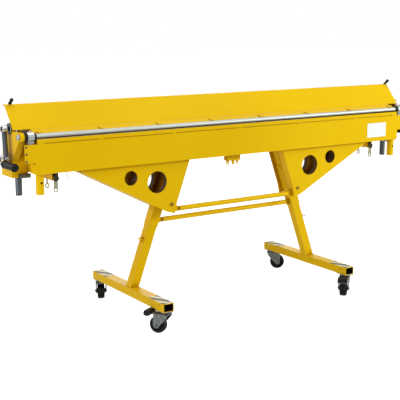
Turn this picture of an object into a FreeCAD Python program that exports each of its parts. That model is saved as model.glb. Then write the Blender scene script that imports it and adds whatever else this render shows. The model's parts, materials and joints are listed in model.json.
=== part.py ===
import FreeCAD, Part
import os
import re
import Sketcher

# A sheet metal folder on a wheeled stand. X runs along the machine, the operator stands on the
# minus Y side, Z is up, and the origin is on the floor under the middle. Millimetres and degrees.
# The folding line is the axis of the clamping bar and of the apron's two pivots.
SIZES = {
    "fold_y": -110,
    "fold_z": 922,
    "running_gap": 0.06,
    "side_gap": 0.3,
    "small_chamfer": 1,
    # Bed: a welded box with a flat table on top.
    "apron_length": 2160,
    "bed_inset": 10,
    "bed_depth": 178,
    "bed_height": 146,
    "bed_wall": 5,
    "front_gap": 2,
    "sheet_gap": 1.3,
    "table_thickness": 7.7,
    "table_overhang": 20,
    # Clamping bar and the pieces on the apron's pivots, from the middle outwards.
    "bar_radius": 11,
    "bar_inset": 9,
    "end_gap": 1,
    "ring_width": 11,
    "ring_radius": 16,
    "hub_width": 30,
    "hub_radius": 20.5,
    "bush_radius": 14,
    "spacer_width": 14,
    "spacer_radius": 22,
    "pivot_radius": 10,
    "pivot_setback": 3,
    "nut_height": 11,
    "nut_radius": 12,
    "nut_chamfer": 3,
    # End frames.
    "frame_bay": 65,
    "frame_thickness": 10,
    "frame_plate": 6,
    "frame_drop": 21,
    "frame_depth": 210,
    "frame_top_short": 40,
    "frame_front_step": 92,
    "frame_slope_rise": 71,
    "frame_flange": 20,
    "frame_flange_start": 4,
    "frame_flange_depth": 6.6,
    "frame_flange_rise": 8,
    "neck_back": 6,
    "neck_drop": 18,
    "eye_radius": 19,
    "ear_radius": 24,
    "rear_plate_back": 174,
    # Clamp shaft and its cranks.
    "shaft_back": 101,
    "shaft_rise": 28,
    "shaft_radius": 10,
    "shaft_overhang": 2,
    "shaft_flange_radius": 25,
    "shaft_flange": 6,
    "flange_chamfer": 2,
    "crank_offset": 14.85,
    "crank_inset": 35,
    "crank_thickness": 7,
    "crank_hub_radius": 13,
    "crank_hub_flat": 9,
    "crank_boss_flat": 6,
    "pin_radius": 5,
    "pin_boss_radius": 9,
    "slot_clearance": 0.75,
    "slot_run_out": 6.65,
    "shaft_slot_gap": 1,
    # Apron.
    "apron_thickness": 6,
    "apron_forward": 18,
    "apron_height": 132,
    "strip_height": 19.7,
    "strip_depth": 17,
    "hem_depth": 14,
    "end_plate_depth": 55,
    "end_plate_thickness": 5,
    "ear_width": 49,
    "ear_height": 80,
    "ear_screw_radius": 4.5,
    "ear_screw_head": 4,
    "ear_screw_dome": 3,
    "ear_screw_edge": 6,
    "ear_screw_first": 10,
    "ear_screw_second": 40,
    "ear_screw_third": 72,
    "arm_inset": 2,
    "arm_width": 26,
    "arm_depth": 22,
    "arm_low": 5,
    "arm_top_drop": 16,
    "socket_inset": 25,
    "socket_radius": 18.25,
    "socket_bore": 15.5,
    "socket_length": 90,
    "socket_top": 8,
    "socket_plate": 3,
    "socket_sink": 0.25,
    "set_screw_drop": 38,
    "set_screw_radius": 5.5,
    "groove_depth": 2.5,
    "groove_height": 4,
    "groove_break": 22,
    "groove_pitch": 383,
    "groove_end": 34,
    # Clamping beam.
    "skin_over": 2,
    "skin_foot_back": 56,
    "skin_foot_rise": 25,
    "skin_height": 102,
    "skin_tilt": 40.46,
    "skin_thickness": 5,
    "skin_flange": 25,
    "box_inset": 5,
    "box_depth": 107.5,
    "box_rise": 46,
    "box_wall": 4,
    "lip_thickness": 6,
    "lip_front": 2,
    "lip_bar_cover": 1.5,
    "lip_heel": 3,
    "lip_under": 1,
    "tab_pitch": 298.5,
    "tab_width": 20,
    "tab_foot": 3,
    "tab_front": 18,
    "tab_front_rise": 7.5,
    "tab_back": 22,
    "tab_back_rise": 8.5,
    "tab_root": 8,
    "lift_plate": 6,
    "lift_plate_inset": 26.5,
    "lift_plate_front": 37,
    "lift_plate_back": 31,
    "lift_plate_drop": 55,
    "lift_plate_rise": 25,
    "lift_foot": 6,
    "lift_foot_edge": 4,
    # Counter springs under the end frames.
    "spring_inset": 29,
    "spring_back": 117,
    "housing_radius": 15,
    "housing_wall": 2,
    "housing_drop": 83,
    "housing_room": 15,
    "housing_cap": 8,
    "housing_floor": 3,
    "collar_width": 3.5,
    "collar_height": 4,
    "rod_radius": 6,
    "rod_plate": 5,
    "rod_rise": 68,
    "spring_radius": 11,
    "spring_wire": 3,
    "clamp_inner": 10,
    "clamp_outer": 46,
    "clamp_low": 4,
    "clamp_high": 15,
    "clamp_bolt_inner": 1,
    "clamp_bolt_outer": 36,
    "clamp_bolt_rise": 5,
    "clamp_bolt_head": 6,
    "clamp_bolt_radius": 7,
    # Knobs on the clamping beam.
    "knob_inset_left": 27,
    "knob_inset_right": 10,
    "knob_back": 146,
    "knob_lean": 52,
    "knob_radius": 8.5,
    "knob_length": 30,
    "knob_neck": 4,
    "knob_neck_height": 6,
    "knob_swell": 8,
    "knob_shoulder": 2,
    "knob_barrel": 5,
    "knob_barrel_half": 7,
    # Clamp levers.
    "lever_gap": 13,
    "lever_width": 24,
    "lever_hub_radius": 16,
    "lever_radius": 11,
    "lever_reach": 11.5,
    "lever_drop": 134.5,
    "lever_chamfer": 3,
    "handle_radius": 8,
    "handle_stub": 14,
    "handle_gap": 4.5,
    "handle_seat": 10,
    "handle_back": 40,
    "grip_radius": 18,
    "grip_waist": 16,
    "grip_front": -118,
    "grip_back": 0,
    "grip_end": 12,
    "grip_round": 5,
    "grip_front_swell": 14,
    "grip_back_swell": 8,
    "grip_swell_run": 8,
    # Legs, which lean outwards and down.
    "leg_tilt": 20,
    "leg_x": 550,
    "leg_y": -8,
    "sleeve_width": 50,
    "sleeve_wall": 2,
    "sleeve_reach": 66,
    "tube_width": 45,
    "tube_wall": 2.5,
    "tube_overlap": 200,
    "tube_gap": 0.2,
    "post_gap": 0.3,
    "post_height": 332,
    "screw_rise": 215,
    "screw_radius": 5,
    "screw_head_radius": 8,
    "screw_head_length": 9,
    "screw_head_chamfer": 2,
    "boss_radius": 10,
    "boss_length": 5,
    "boss_sink": 1,
    "handle_bar_radius": 2.8,
    "handle_bar_half": 33,
    # Gussets between the legs and the bed.
    "gusset_thickness": 4,
    "gusset_inset": 45.5,
    "gusset_height": 198,
    "gusset_foot_run": 13,
    "gusset_foot_drop": 54,
    "gusset_heel_run": 41,
    "gusset_heel_rise": 12,
    "gusset_length": 487,
    "gusset_tip_depth": 11,
    "gusset_tip_step": 4,
    "gusset_return": 46,
    "gusset_lip": 14,
    "gusset_floor_run": 32,
    "large_hole_run": 97,
    "large_hole_drop": 92,
    "large_hole": 52,
    "small_hole_run": 237.5,
    "small_hole_drop": 60,
    "small_hole": 34,
    "back_hole_shift": 14,
    "back_large_hole": 58,
    "large_liner": 26,
    "small_liner": 42,
    "hole_liner_wall": 3,
    "front_bolt_run": 18,
    "front_bolt_rise": 46,
    "front_bolt_head": 6,
    "front_bolt_dome": 2,
    "front_bolt_radius": 8.5,
    "front_spacer_radius": 9,
    "dome_rise": 100,
    "dome_radius": 13,
    "dome_shoulder": 12,
    "dome_crown": 8,
    "dome_height": 7,
    "dome_low": 3,
    "dome_high": 6,
    # Crossbars between the legs.
    "crossbar_radius": 12,
    "upper_bar_back": 24,
    "upper_bar_rise": 17,
    "upper_bar_short": 36,
    "lower_bar_rise": 21,
    "lower_bar_short": 30.7,
    "tail_half": 4,
    "tail_overlap": 4,
    "tail_root": 9,
    "tail_low": 16,
    "tail_high": 22,
    "tail_spread": 18,
    # Feet and castors.
    "foot_top": 150,
    "foot_height": 40,
    "foot_width": 55,
    "foot_wall": 3,
    "foot_half": 341,
    "foot_x": 553.5,
    "foot_hole_inset": 40,
    "foot_hole_drop": 13,
    "foot_hole": 4,
    "castor_trail": 32,
    "castor_plate_length": 70,
    "castor_plate_inset": 0.5,
    "castor_plate": 4,
    "castor_nut_radius": 8,
    "castor_nut_height": 6,
    "raceway_radius": 22,
    "raceway_height": 8,
    "kingpin_radius": 6,
    "kingpin_head_radius": 9,
    "kingpin_head": 3.7,
    "wheel_radius": 40,
    "wheel_width": 34,
    "wheel_round": 3,
    "wheel_shoulder": 7,
    "wheel_rim_low": 4,
    "wheel_rim_high": 8,
    "wheel_dish": 12,
    "wheel_web": 14,
    "web_half": 5,
    "wheel_hub_radius": 12,
    "axle_radius": 5,
    "axle_head": 5,
    "fork_plate": 6.7,
    "fork_radius": 27,
    "fork_gap": 7,
    "fork_thickness": 2.5,
    "fork_bridge": 4,
    "bridge_back": 15,
    "cheek_front": 26,
    "cheek_back": 45,
    "cheek_bulge": 48,
    "cheek_bulge_rise": 11,
    "cheek_round": 14,
    "cheek_tip": 6,
    "cheek_nose": 24,
    "cheek_nose_drop": 9,
    "pedal_pin_y": 20,
    "pedal_pin_z": 86.5,
    "pedal_pin_radius": 2.5,
    "pedal_arm_half": 14,
    "pedal_arm_start": 17,
    "pedal_arm_low": 85,
    "pedal_arm_high": 89,
    "pedal_knee": 40,
    "pedal_knee_low": 88.5,
    "pedal_knee_high": 93,
    "pedal_start": 60,
    "pedal_end": 98,
    "pedal_half": 25,
    "pedal_top": 105.5,
    "pedal_bottom": 78,
    "pedal_neck": 86,
    "pedal_round": 7,
    # Brackets, links and loops under the bed.
    "bracket_inset": 115,
    "bracket_width": 30,
    "bracket_length": 98,
    "bracket_height": 45,
    "bracket_forward": 38,
    "link_pin_rise": 10,
    "link_pin_radius": 6,
    "link_pin_head": 14,
    "link_pin_head_width": 5,
    "link_length": 63,
    "link_thickness": 4,
    "link_head_radius": 12,
    "link_eye_radius": 11,
    "link_hole_radius": 6,
    "link_neck": 9,
    "ring_back": 10,
    "ring_drop": 36,
    "ring_wire": 3,
    "ring_middle": 9,
    "ring_stem": 4,
    "ring_stem_length": 25,
    "hook_inset": 170,
    "hook_y": -50,
    "hook_length": 46,
    "hook_radius": 2.2,
    "loop_block_half": 40,
    "loop_block_front": 75,
    "loop_block_back": 45,
    "loop_block_height": 33,
    "loop_y": -60,
    "loop_half": 2.5,
    "loop_radius": 8,
    "loop_hole": 4.5,
    "loop_drop": 48,
    "loop_left": -28,
    "loop_middle": 5,
    "loop_right": 30,
}

# Places worked out from the sizes.
PLACES = {
    "apron_half": "apron_length / 2",
    "bed_half": "apron_half - bed_inset",
    "table_top": "fold_z - bar_radius - sheet_gap",
    "table_bottom": "table_top - table_thickness",
    "bed_bottom": "table_bottom - bed_height",
    "bed_front": "fold_y + front_gap",
    "bed_back": "bed_front + bed_depth",
    "bar_half": "apron_half - bar_inset",
    "ring_start": "bar_half + end_gap",
    "hub_start": "ring_start + ring_width",
    "hub_end": "hub_start + hub_width - side_gap",
    "spacer_start": "hub_start + hub_width",
    "spacer_end": "spacer_start + spacer_width",
    "frame_inner": "bed_half + frame_bay",
    "frame_outer": "frame_inner + frame_thickness",
    "frame_bottom": "bed_bottom - frame_drop",
    "frame_floor": "frame_bottom + frame_plate",
    "frame_front": "fold_y + frame_front_step",
    "frame_back": "fold_y + frame_depth",
    "frame_top": "fold_z + eye_radius",
    "slope_foot": "frame_bottom + frame_slope_rise",
    "neck_y": "fold_y + neck_back",
    "neck_z": "fold_z - neck_drop",
    "flange_y": "neck_y + frame_flange_start * (frame_front - neck_y) / (neck_z - slope_foot)",
    "flange_z": "neck_z - frame_flange_start",
    "rear_plate_y": "fold_y + rear_plate_back",
    "shaft_y": "fold_y + shaft_back",
    "shaft_z": "fold_z + shaft_rise",
    "nut_end": "frame_outer + nut_height",
    "flange_end": "frame_outer + shaft_flange",
    "crank_start": "frame_inner - crank_inset",
    "crank_end": "crank_start + crank_thickness",
    "pin_y": "shaft_y - crank_offset",
    "pin_z": "shaft_z - crank_offset",
    "lift_travel": "2 * crank_offset",
    "apron_front": "fold_y - apron_forward",
    "apron_back": "apron_front + apron_thickness",
    "apron_top": "table_top - strip_height",
    "apron_bottom": "apron_top - apron_height",
    "ear_low": "apron_top - ear_height",
    "arm_start": "hub_start + arm_inset",
    "arm_end": "arm_start + arm_width",
    "socket_x": "apron_half - socket_inset",
    "socket_y": "apron_back + socket_radius - socket_sink",
    "skin_half": "frame_outer + skin_over",
    "skin_foot_y": "fold_y + skin_foot_back",
    "skin_foot_z": "fold_z + skin_foot_rise",
    "skin_top_y": "skin_foot_y + skin_height * tan(skin_tilt)",
    "skin_top_z": "skin_foot_z + skin_height",
    "skin_inner_y": "skin_foot_y + skin_thickness / cos(skin_tilt)",
    "flange_bottom": "skin_top_z - skin_thickness",
    "box_half": "apron_half - box_inset",
    "box_bottom": "fold_z + box_rise",
    "box_front": "skin_inner_y + (box_bottom - skin_foot_z) * tan(skin_tilt)",
    "box_top_front": "skin_inner_y + (flange_bottom - skin_foot_z) * tan(skin_tilt)",
    "box_back": "box_front + box_depth",
    "bar_top": "fold_z + bar_radius",
    "lift_plate_start": "frame_inner - lift_plate_inset",
    "lift_plate_end": "lift_plate_start + lift_plate",
    "lift_front": "shaft_y - lift_plate_front",
    "lift_back": "shaft_y + lift_plate_back",
    "lift_bottom": "shaft_z - lift_plate_drop",
    "lift_top": "shaft_z + lift_plate_rise",
    "spring_x": "frame_inner - spring_inset",
    "spring_y": "fold_y + spring_back",
    "housing_bottom": "frame_bottom - housing_drop",
    "housing_top": "lift_bottom - housing_room",
    "rod_bottom": "housing_bottom + rod_rise",
    "left_knob_x": "knob_inset_left - skin_half",
    "right_knob_x": "skin_half - knob_inset_right",
    "knob_y": "fold_y + knob_back",
    "knob_z": "skin_top_z + knob_barrel + side_gap",
    "lever_start": "frame_outer + lever_gap",
    "lever_end": "lever_start + lever_width",
    "lever_x": "lever_start + lever_width / 2",
    "lever_foot_y": "shaft_y - lever_reach",
    "handle_spread": "grip_radius + handle_radius + handle_gap",
    "handle_top": "shaft_z - lever_drop + handle_seat",
    "grip_z": "handle_top - handle_spread",
    "sleeve_half": "sleeve_width / 2",
    "tube_half": "tube_width / 2",
    "post_half": "tube_half - tube_wall - post_gap",
    "screw_height": "foot_top + screw_rise",
    "screw_x": "leg_x - screw_rise * tan(leg_tilt)",
    "dome_z": "gusset_knee + dome_rise",
    "dome_x": "leg_x - (dome_z - foot_top) * tan(leg_tilt)",
    "gusset_knee": "bed_bottom - gusset_height",
    "gusset_knee_x": "leg_x - (gusset_knee - foot_top) * tan(leg_tilt) - gusset_inset",
    "gusset_bottom": "gusset_knee - gusset_foot_drop",
    "gusset_bottom_x": "gusset_knee_x + gusset_foot_run",
    "gusset_heel": "gusset_bottom + gusset_heel_rise",
    "gusset_heel_x": "gusset_bottom_x + gusset_heel_run",
    "gusset_tip": "bed_bottom - gusset_tip_depth",
    "gusset_tip_x": "gusset_bottom_x + gusset_length",
    "gusset_floor_x": "gusset_heel_x + gusset_floor_run",
    "gusset_slope": "(gusset_tip - gusset_heel) / (gusset_tip_x - gusset_heel_x)",
    "gusset_floor_z": "gusset_heel + gusset_floor_run * gusset_slope",
    "gusset_back": "leg_y + sleeve_half",
    "gusset_inside": "bed_front + gusset_thickness",
    "large_hole_x": "gusset_bottom_x + large_hole_run",
    "large_hole_z": "bed_bottom - large_hole_drop",
    "small_hole_x": "gusset_bottom_x + small_hole_run",
    "small_hole_z": "bed_bottom - small_hole_drop",
    "front_bolt_x": "gusset_bottom_x + front_bolt_run",
    "front_bolt_z": "gusset_bottom + front_bolt_rise",
    "sleeve_bottom": "gusset_bottom - sleeve_reach",
    "tube_top": "sleeve_bottom + tube_overlap",
    "post_top": "foot_top + post_height",
    "upper_bar_y": "bed_front + upper_bar_back",
    "upper_bar_z": "gusset_bottom + upper_bar_rise",
    "lower_bar_z": "sleeve_bottom + lower_bar_rise",
    "lower_bar_x": "leg_x - (lower_bar_z - foot_top) * tan(leg_tilt) - sleeve_half",
    "upper_bar_half": "gusset_bottom_x - upper_bar_short",
    "lower_bar_half": "lower_bar_x - lower_bar_short",
    "foot_bottom": "foot_top - foot_height",
    "foot_inner": "foot_x - foot_width / 2",
    "foot_outer": "foot_x + foot_width / 2",
    "foot_floor": "foot_bottom + foot_wall",
    "foot_hole_y": "foot_half - foot_hole_inset",
    "foot_hole_z": "foot_top - foot_hole_drop",
    "castor_y": "foot_half - castor_plate_length / 2",
    "castor_plate_z": "foot_bottom - castor_plate",
    "raceway_bottom": "castor_plate_z - raceway_height",
    "fork_top": "raceway_bottom - side_gap",
    "fork_bottom": "fork_top - fork_plate",
    "fork_half": "wheel_width / 2 + fork_gap",
    "fork_outer": "fork_half + fork_thickness",
    "hub_half": "fork_half - side_gap",
    "bracket_x": "bed_half - bracket_inset",
    "bracket_y": "leg_y - bracket_forward",
    "bracket_bottom": "bed_bottom - bracket_height",
    "link_pin_z": "bracket_bottom + link_pin_rise",
    "link_back": "bracket_y - side_gap",
    "link_front": "link_back - link_thickness",
    "link_eye_z": "link_pin_z - link_length + link_eye_radius",
    "ring_y": "bracket_y + bracket_length - ring_back",
    "hook_x": "bed_half - hook_inset",
}

doc = FreeCAD.newDocument("SheetMetalFolder")
sheet = doc.addObject("Spreadsheet::Sheet", "Sizes")
nodes = {}


def fill_sheet():
    for row, (name, number) in enumerate(SIZES.items(), start=1):
        sheet.set("A%d" % row, name)
        sheet.set("B%d" % row, str(number))
        sheet.setAlias("B%d" % row, name)
    doc.recompute()


def formula(text):
    """Write a text of size names as a formula on the sheet's cells."""
    def cell(match):
        word = match.group()
        if word in SIZES:
            return "Sizes." + word
        if word in PLACES:
            return "(" + formula(PLACES[word]) + ")"
        return word
    return re.sub("[a-z_]+", cell, str(text))


def number(text):
    return float(sheet.evalExpression(formula(text)))


def place(thing, base=(0, 0, 0), axis=None, angle=0):
    """Put a piece at a place, turned by an angle about an axis."""
    if axis is not None:
        turn = FreeCAD.Rotation(FreeCAD.Vector(*axis), number(angle))
        thing.Placement = FreeCAD.Placement(FreeCAD.Vector(0, 0, 0), turn)
        thing.setExpression("Placement.Rotation.Angle", formula(angle))
    for letter, text in zip("xyz", base):
        thing.setExpression("Placement.Base." + letter, formula(text))
    return thing


def new_body(name):
    return doc.addObject("PartDesign::Body", name)


def draw(body, name, plane, height, loops):
    """A sketch on one of the body's own planes. A loop of two texts a point is an outline,
    and a loop of three texts is a circle with its centre and radius."""
    drawing = body.newObject("Sketcher::SketchObject", name)
    origin_plane = [part for part in body.Origin.OriginFeatures if part.Role == plane][0]
    drawing.AttachmentSupport = [(origin_plane, "")]
    drawing.MapMode = "FlatFace"
    drawing.setExpression("AttachmentOffset.Base.z", formula(height))
    for loop in loops:
        if isinstance(loop, tuple):
            centre = FreeCAD.Vector(number(loop[0]), number(loop[1]), 0)
            edge = drawing.addGeometry(Part.Circle(centre, FreeCAD.Vector(0, 0, 1), number(loop[2])))
            bind(drawing, "Radius", [edge], loop[2])
            bind(drawing, "DistanceX", [-1, 1, edge, 3], loop[0])
            bind(drawing, "DistanceY", [-1, 1, edge, 3], loop[1])
            continue
        points = [FreeCAD.Vector(number(x), number(y), 0) for x, y in loop]
        ends = points[1:] + points[:1]
        edges = drawing.addGeometry([Part.LineSegment(a, b) for a, b in zip(points, ends)])
        joins = zip(edges, edges[1:] + edges[:1])
        drawing.addConstraint([Sketcher.Constraint("Coincident", a, 2, b, 1) for a, b in joins])
        for edge, (x, y) in zip(edges, loop):
            bind(drawing, "DistanceX", [-1, 1, edge, 1], x)
            bind(drawing, "DistanceY", [-1, 1, edge, 1], y)
    return drawing


def bind(drawing, kind, places, text):
    index = drawing.addConstraint(Sketcher.Constraint(kind, *places, number(text)))
    drawing.setExpression("Constraints[%d]" % index, formula(text))


def add(body, name, plane, low, high, *loops):
    """Add an outline to a body, from low to high along the plane's own axis."""
    start = "-(%s)" % high if plane == "XZ_Plane" else low
    pad = body.newObject("PartDesign::Pad", name)
    pad.Profile = draw(body, name + "_outline", plane, start, loops)
    pad.setExpression("Length", formula("(%s) - (%s)" % (high, low)))
    return pad


def take(body, name, plane, low, high, *loops):
    """Cut an outline out of a body, from low to high along the plane's own axis."""
    start = "-(%s)" % low if plane == "XZ_Plane" else high
    doc.recompute()
    before = body.Shape.Volume
    pocket = body.newObject("PartDesign::Pocket", name)
    pocket.Profile = draw(body, name + "_outline", plane, start, loops)
    pocket.setExpression("Length", formula("(%s) - (%s)" % (high, low)))
    doc.recompute()
    if not body.Shape.Volume < before:
        raise RuntimeError(name + " cuts nothing")
    return pocket


def rectangle(left, right, low, high):
    return [(left, low), (right, low), (right, high), (left, high)]


def revolve(body, name, points):
    """Turn points of distance along the body's own X axis and radius into a solid."""
    outline = draw(body, name + "_outline", "XY_Plane", 0, [points])
    turn = body.newObject("PartDesign::Revolution", name + "_turn")
    turn.Profile = outline
    turn.ReferenceAxis = (outline, ["H_Axis"])
    turn.Angle = 360


def turned(name, axis, points, base=(0, 0, 0), turn_axis=None, angle=0):
    """A turned piece from points of distance along its axis and radius."""
    body = new_body(name)
    if axis == "X":
        revolve(body, name, points)
        return place(body, base, turn_axis, angle)
    points = [(radius, along) for along, radius in points]
    plane = "XZ_Plane" if axis == "Z" else "XY_Plane"
    outline = draw(body, name + "_outline", plane, 0, [points])
    turn = body.newObject("PartDesign::Revolution", name + "_turn")
    turn.Profile = outline
    turn.ReferenceAxis = (outline, ["V_Axis"])
    turn.Angle = 360
    return place(body, base, turn_axis, angle)


def plain_rod(name, axis, low, high, radius, base=(0, 0, 0), turn_axis=None, angle=0):
    return turned(name, axis, [(low, 0), (high, 0), (high, radius), (low, radius)], base, turn_axis,
                  angle)


def sleeve(name, axis, low, high, bore, radius, base=(0, 0, 0)):
    return turned(name, axis, [(low, bore), (high, bore), (high, radius), (low, radius)], base)


def block(name, x, y, z):
    box = doc.addObject("Part::Box", name)
    for side, (low, high) in zip(("Length", "Width", "Height"), (x, y, z)):
        box.setExpression(side, formula("(%s) - (%s)" % (high, low)))
    return place(box, (x[0], y[0], z[0]))


def torus(name, middle, wire, base, axis, angle):
    ring = doc.addObject("Part::Torus", name)
    ring.setExpression("Radius1", formula(middle))
    ring.setExpression("Radius2", formula(wire))
    return place(ring, base, axis, angle)


def cut(name, base, tool):
    result = doc.addObject("Part::Cut", name)
    result.Base = base
    result.Tool = tool
    return result


def fuse(name, *pieces):
    result = doc.addObject("Part::MultiFuse", name)
    result.Shapes = list(pieces)
    return result


def mirrored(piece):
    result = doc.addObject("Part::Mirroring", piece.Name + "_mirrored")
    result.Source = piece
    result.Normal = FreeCAD.Vector(1, 0, 0)
    return result


def group(name, pieces):
    result = doc.addObject("Part::Compound", name)
    result.Links = pieces
    return result


def node(name, thing):
    thing.Label = name
    nodes[name] = thing


def both_ends(name, *pieces):
    """One node with the pieces of the right end and their mirror images."""
    node(name, group(name + "_group", list(pieces) + [mirrored(piece) for piece in pieces]))


def pair(name, piece):
    """Two nodes, one for each end."""
    node(name + "_right", piece)
    node(name + "_left", mirrored(piece))


def make_bed():
    shell = block("bed_shell", ("-bed_half", "bed_half"), ("bed_front", "bed_back"),
                  ("bed_bottom", "table_bottom"))
    hollow = block("bed_hollow", ("bed_wall - bed_half", "bed_half - bed_wall"),
                   ("bed_front + bed_wall", "bed_back - bed_wall"),
                   ("bed_bottom + bed_wall", "table_bottom - bed_wall"))
    node("bed_beam", cut("bed_box", shell, hollow))
    node("bed_table", block("table", ("-bar_half", "bar_half"),
                            ("bed_front", "bed_back + table_overhang"),
                            ("table_bottom", "table_top")))


def make_end_frames():
    frame = new_body("end_frame")
    add(frame, "side_plate", "YZ_Plane", "frame_inner", "frame_outer", [
        ("fold_y", "frame_top"),
        ("shaft_y - ear_radius", "frame_top"),
        ("shaft_y - ear_radius", "shaft_z"),
        ("shaft_y + ear_radius", "shaft_z"),
        ("frame_back - frame_top_short", "frame_top"),
        ("frame_back", "frame_bottom"),
        ("frame_front", "frame_bottom"),
        ("frame_front", "slope_foot"),
        ("neck_y", "neck_z"),
        ("fold_y", "fold_z")])
    add(frame, "eye", "YZ_Plane", "spacer_end", "frame_outer", ("fold_y", "fold_z", "eye_radius"))
    add(frame, "ear", "YZ_Plane", "frame_inner", "frame_outer", ("shaft_y", "shaft_z", "ear_radius"))
    add(frame, "slope_flange", "YZ_Plane", "frame_inner - frame_flange", "frame_inner", [
        ("flange_y", "flange_z"),
        ("frame_front", "slope_foot"),
        ("frame_front", "slope_foot + frame_flange_rise"),
        ("flange_y + frame_flange_depth", "flange_z")])
    add(frame, "front_plate", "YZ_Plane", "bed_half", "frame_inner",
        rectangle("frame_front", "frame_front + frame_plate", "frame_bottom", "apron_top"))
    add(frame, "rear_plate", "YZ_Plane", "bed_half", "frame_inner",
        rectangle("rear_plate_y - frame_plate", "rear_plate_y", "frame_bottom", "apron_top"))
    add(frame, "floor_plate", "YZ_Plane", "bed_half", "frame_inner",
        rectangle("frame_front + frame_plate", "rear_plate_y - frame_plate", "frame_bottom",
                  "frame_floor"))
    take(frame, "eye_bore", "YZ_Plane", "spacer_end", "frame_outer",
         ("fold_y", "fold_z", "pivot_radius + running_gap"))
    take(frame, "ear_bore", "YZ_Plane", "frame_inner", "frame_outer",
         ("shaft_y", "shaft_z", "bush_radius + running_gap"))
    take(frame, "housing_hole", "XY_Plane", "frame_bottom", "frame_floor",
         ("spring_x", "spring_y", "housing_radius + side_gap"))
    pair("end_frame", frame)


def make_frame_bearings():
    """Pivot bolts, their spacers and the bushes that carry the clamp shaft."""
    start = "bar_half + pivot_setback"
    pivot = (0, "fold_y", "fold_z")
    both_ends("pivot_bolts", turned("pivot_bolt", "X", [
        (start, 0), ("nut_end", 0), ("nut_end", "nut_radius - nut_chamfer"),
        ("nut_end - nut_chamfer", "nut_radius"), ("frame_outer", "nut_radius"),
        ("frame_outer", "pivot_radius"), (start, "pivot_radius")], pivot))
    both_ends("pivot_spacers", sleeve("pivot_spacer", "X", "spacer_start", "spacer_end",
                                      "pivot_radius + running_gap", "spacer_radius", pivot))
    bore = "shaft_radius + running_gap"
    both_ends("shaft_bearings", turned("shaft_bearing", "X", [
        ("frame_inner", bore), ("flange_end", bore),
        ("flange_end", "shaft_flange_radius - flange_chamfer"),
        ("flange_end - flange_chamfer", "shaft_flange_radius"),
        ("frame_outer", "shaft_flange_radius"), ("frame_outer", "bush_radius"),
        ("frame_inner", "bush_radius")], (0, "shaft_y", "shaft_z")))


def make_spring_housings():
    collar_top = "frame_floor + collar_height"
    bore = "rod_radius + running_gap"
    inside = "housing_radius - housing_wall"
    housing = turned("spring_housing", "Z", [
        ("housing_bottom", 0), ("housing_bottom", "housing_radius"),
        ("frame_floor", "housing_radius"), ("frame_floor", "housing_radius + collar_width"),
        (collar_top, "housing_radius + collar_width"), (collar_top, "housing_radius"),
        ("housing_top", "housing_radius"), ("housing_top", bore),
        ("housing_top - housing_cap", bore), ("housing_top - housing_cap", inside),
        ("housing_bottom + housing_floor", inside), ("housing_bottom + housing_floor", 0)],
        ("spring_x", "spring_y", 0))
    both_ends("spring_housings", housing)
    face = "frame_front - frame_plate"
    pieces = [block("spring_clamp_plate", ("bed_half - clamp_inner", "bed_half + clamp_outer"),
                    (face, "frame_front"), ("frame_bottom - clamp_low", "frame_bottom + clamp_high"))]
    for name, along in (("inner", "clamp_bolt_inner"), ("outer", "clamp_bolt_outer")):
        pieces.append(turned("clamp_bolt_" + name, "Y", [
            (face + " - clamp_bolt_head", 0), (face, 0), (face, "clamp_bolt_radius"),
            (face + " - clamp_bolt_head + small_chamfer", "clamp_bolt_radius"),
            (face + " - clamp_bolt_head", "clamp_bolt_radius - small_chamfer")],
            ("bed_half + " + along, 0, "frame_bottom + clamp_bolt_rise")))
    both_ends("spring_clamps", *pieces)


def make_apron():
    plate = new_body("apron_sheet")
    add(plate, "front", "YZ_Plane", "-apron_half", "apron_half", [
        ("apron_front", "apron_bottom"), ("apron_front + hem_depth", "apron_bottom"),
        ("apron_front + hem_depth", "apron_bottom + apron_thickness"),
        ("apron_back", "apron_bottom + apron_thickness"),
        ("apron_back", "apron_top - apron_thickness"),
        ("apron_front + strip_depth", "apron_top - apron_thickness"),
        ("apron_front + strip_depth", "apron_top"), ("apron_front", "apron_top")])
    for name, start, end in (("ear_right", "apron_half", "apron_half + ear_width"),
                             ("ear_left", "-apron_half - ear_width", "-apron_half")):
        add(plate, name, "XZ_Plane", "apron_front", "apron_back",
            rectangle(start, end, "ear_low", "apron_top"))
    for name, low, high in (("end_plate_right", "apron_half - end_plate_thickness", "apron_half"),
                            ("end_plate_left", "-apron_half", "end_plate_thickness - apron_half")):
        add(plate, name, "YZ_Plane", low, high,
            rectangle("apron_back", "apron_front + end_plate_depth", "apron_bottom", "ear_low"))
    for name, low, high in (("arm_room_right", "bar_half", "apron_half"),
                            ("arm_room_left", "-apron_half", "-bar_half")):
        take(plate, name, "YZ_Plane", low, high,
             rectangle("apron_back", "apron_front + strip_depth", "ear_low", "apron_top"))
    node("apron_plate", plate)
    strip = new_body("strip")
    add(strip, "strip_bar", "YZ_Plane", "-bar_half", "bar_half",
        rectangle("apron_front", "apron_front + strip_depth", "apron_top", "table_top"))
    groove = rectangle("apron_front", "apron_front + groove_depth", "apron_top",
                       "apron_top + groove_height")
    edges = ["groove_end - bar_half"]
    for middle in range(-2, 3):
        edges.append("%d * groove_pitch - groove_break / 2" % middle)
        edges.append("%d * groove_pitch + groove_break / 2" % middle)
    edges.append("bar_half - groove_end")
    for count in range(0, len(edges), 2):
        take(strip, "groove_%d" % count, "YZ_Plane", edges[count], edges[count + 1], groove)
    node("bending_bar", strip)


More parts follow.
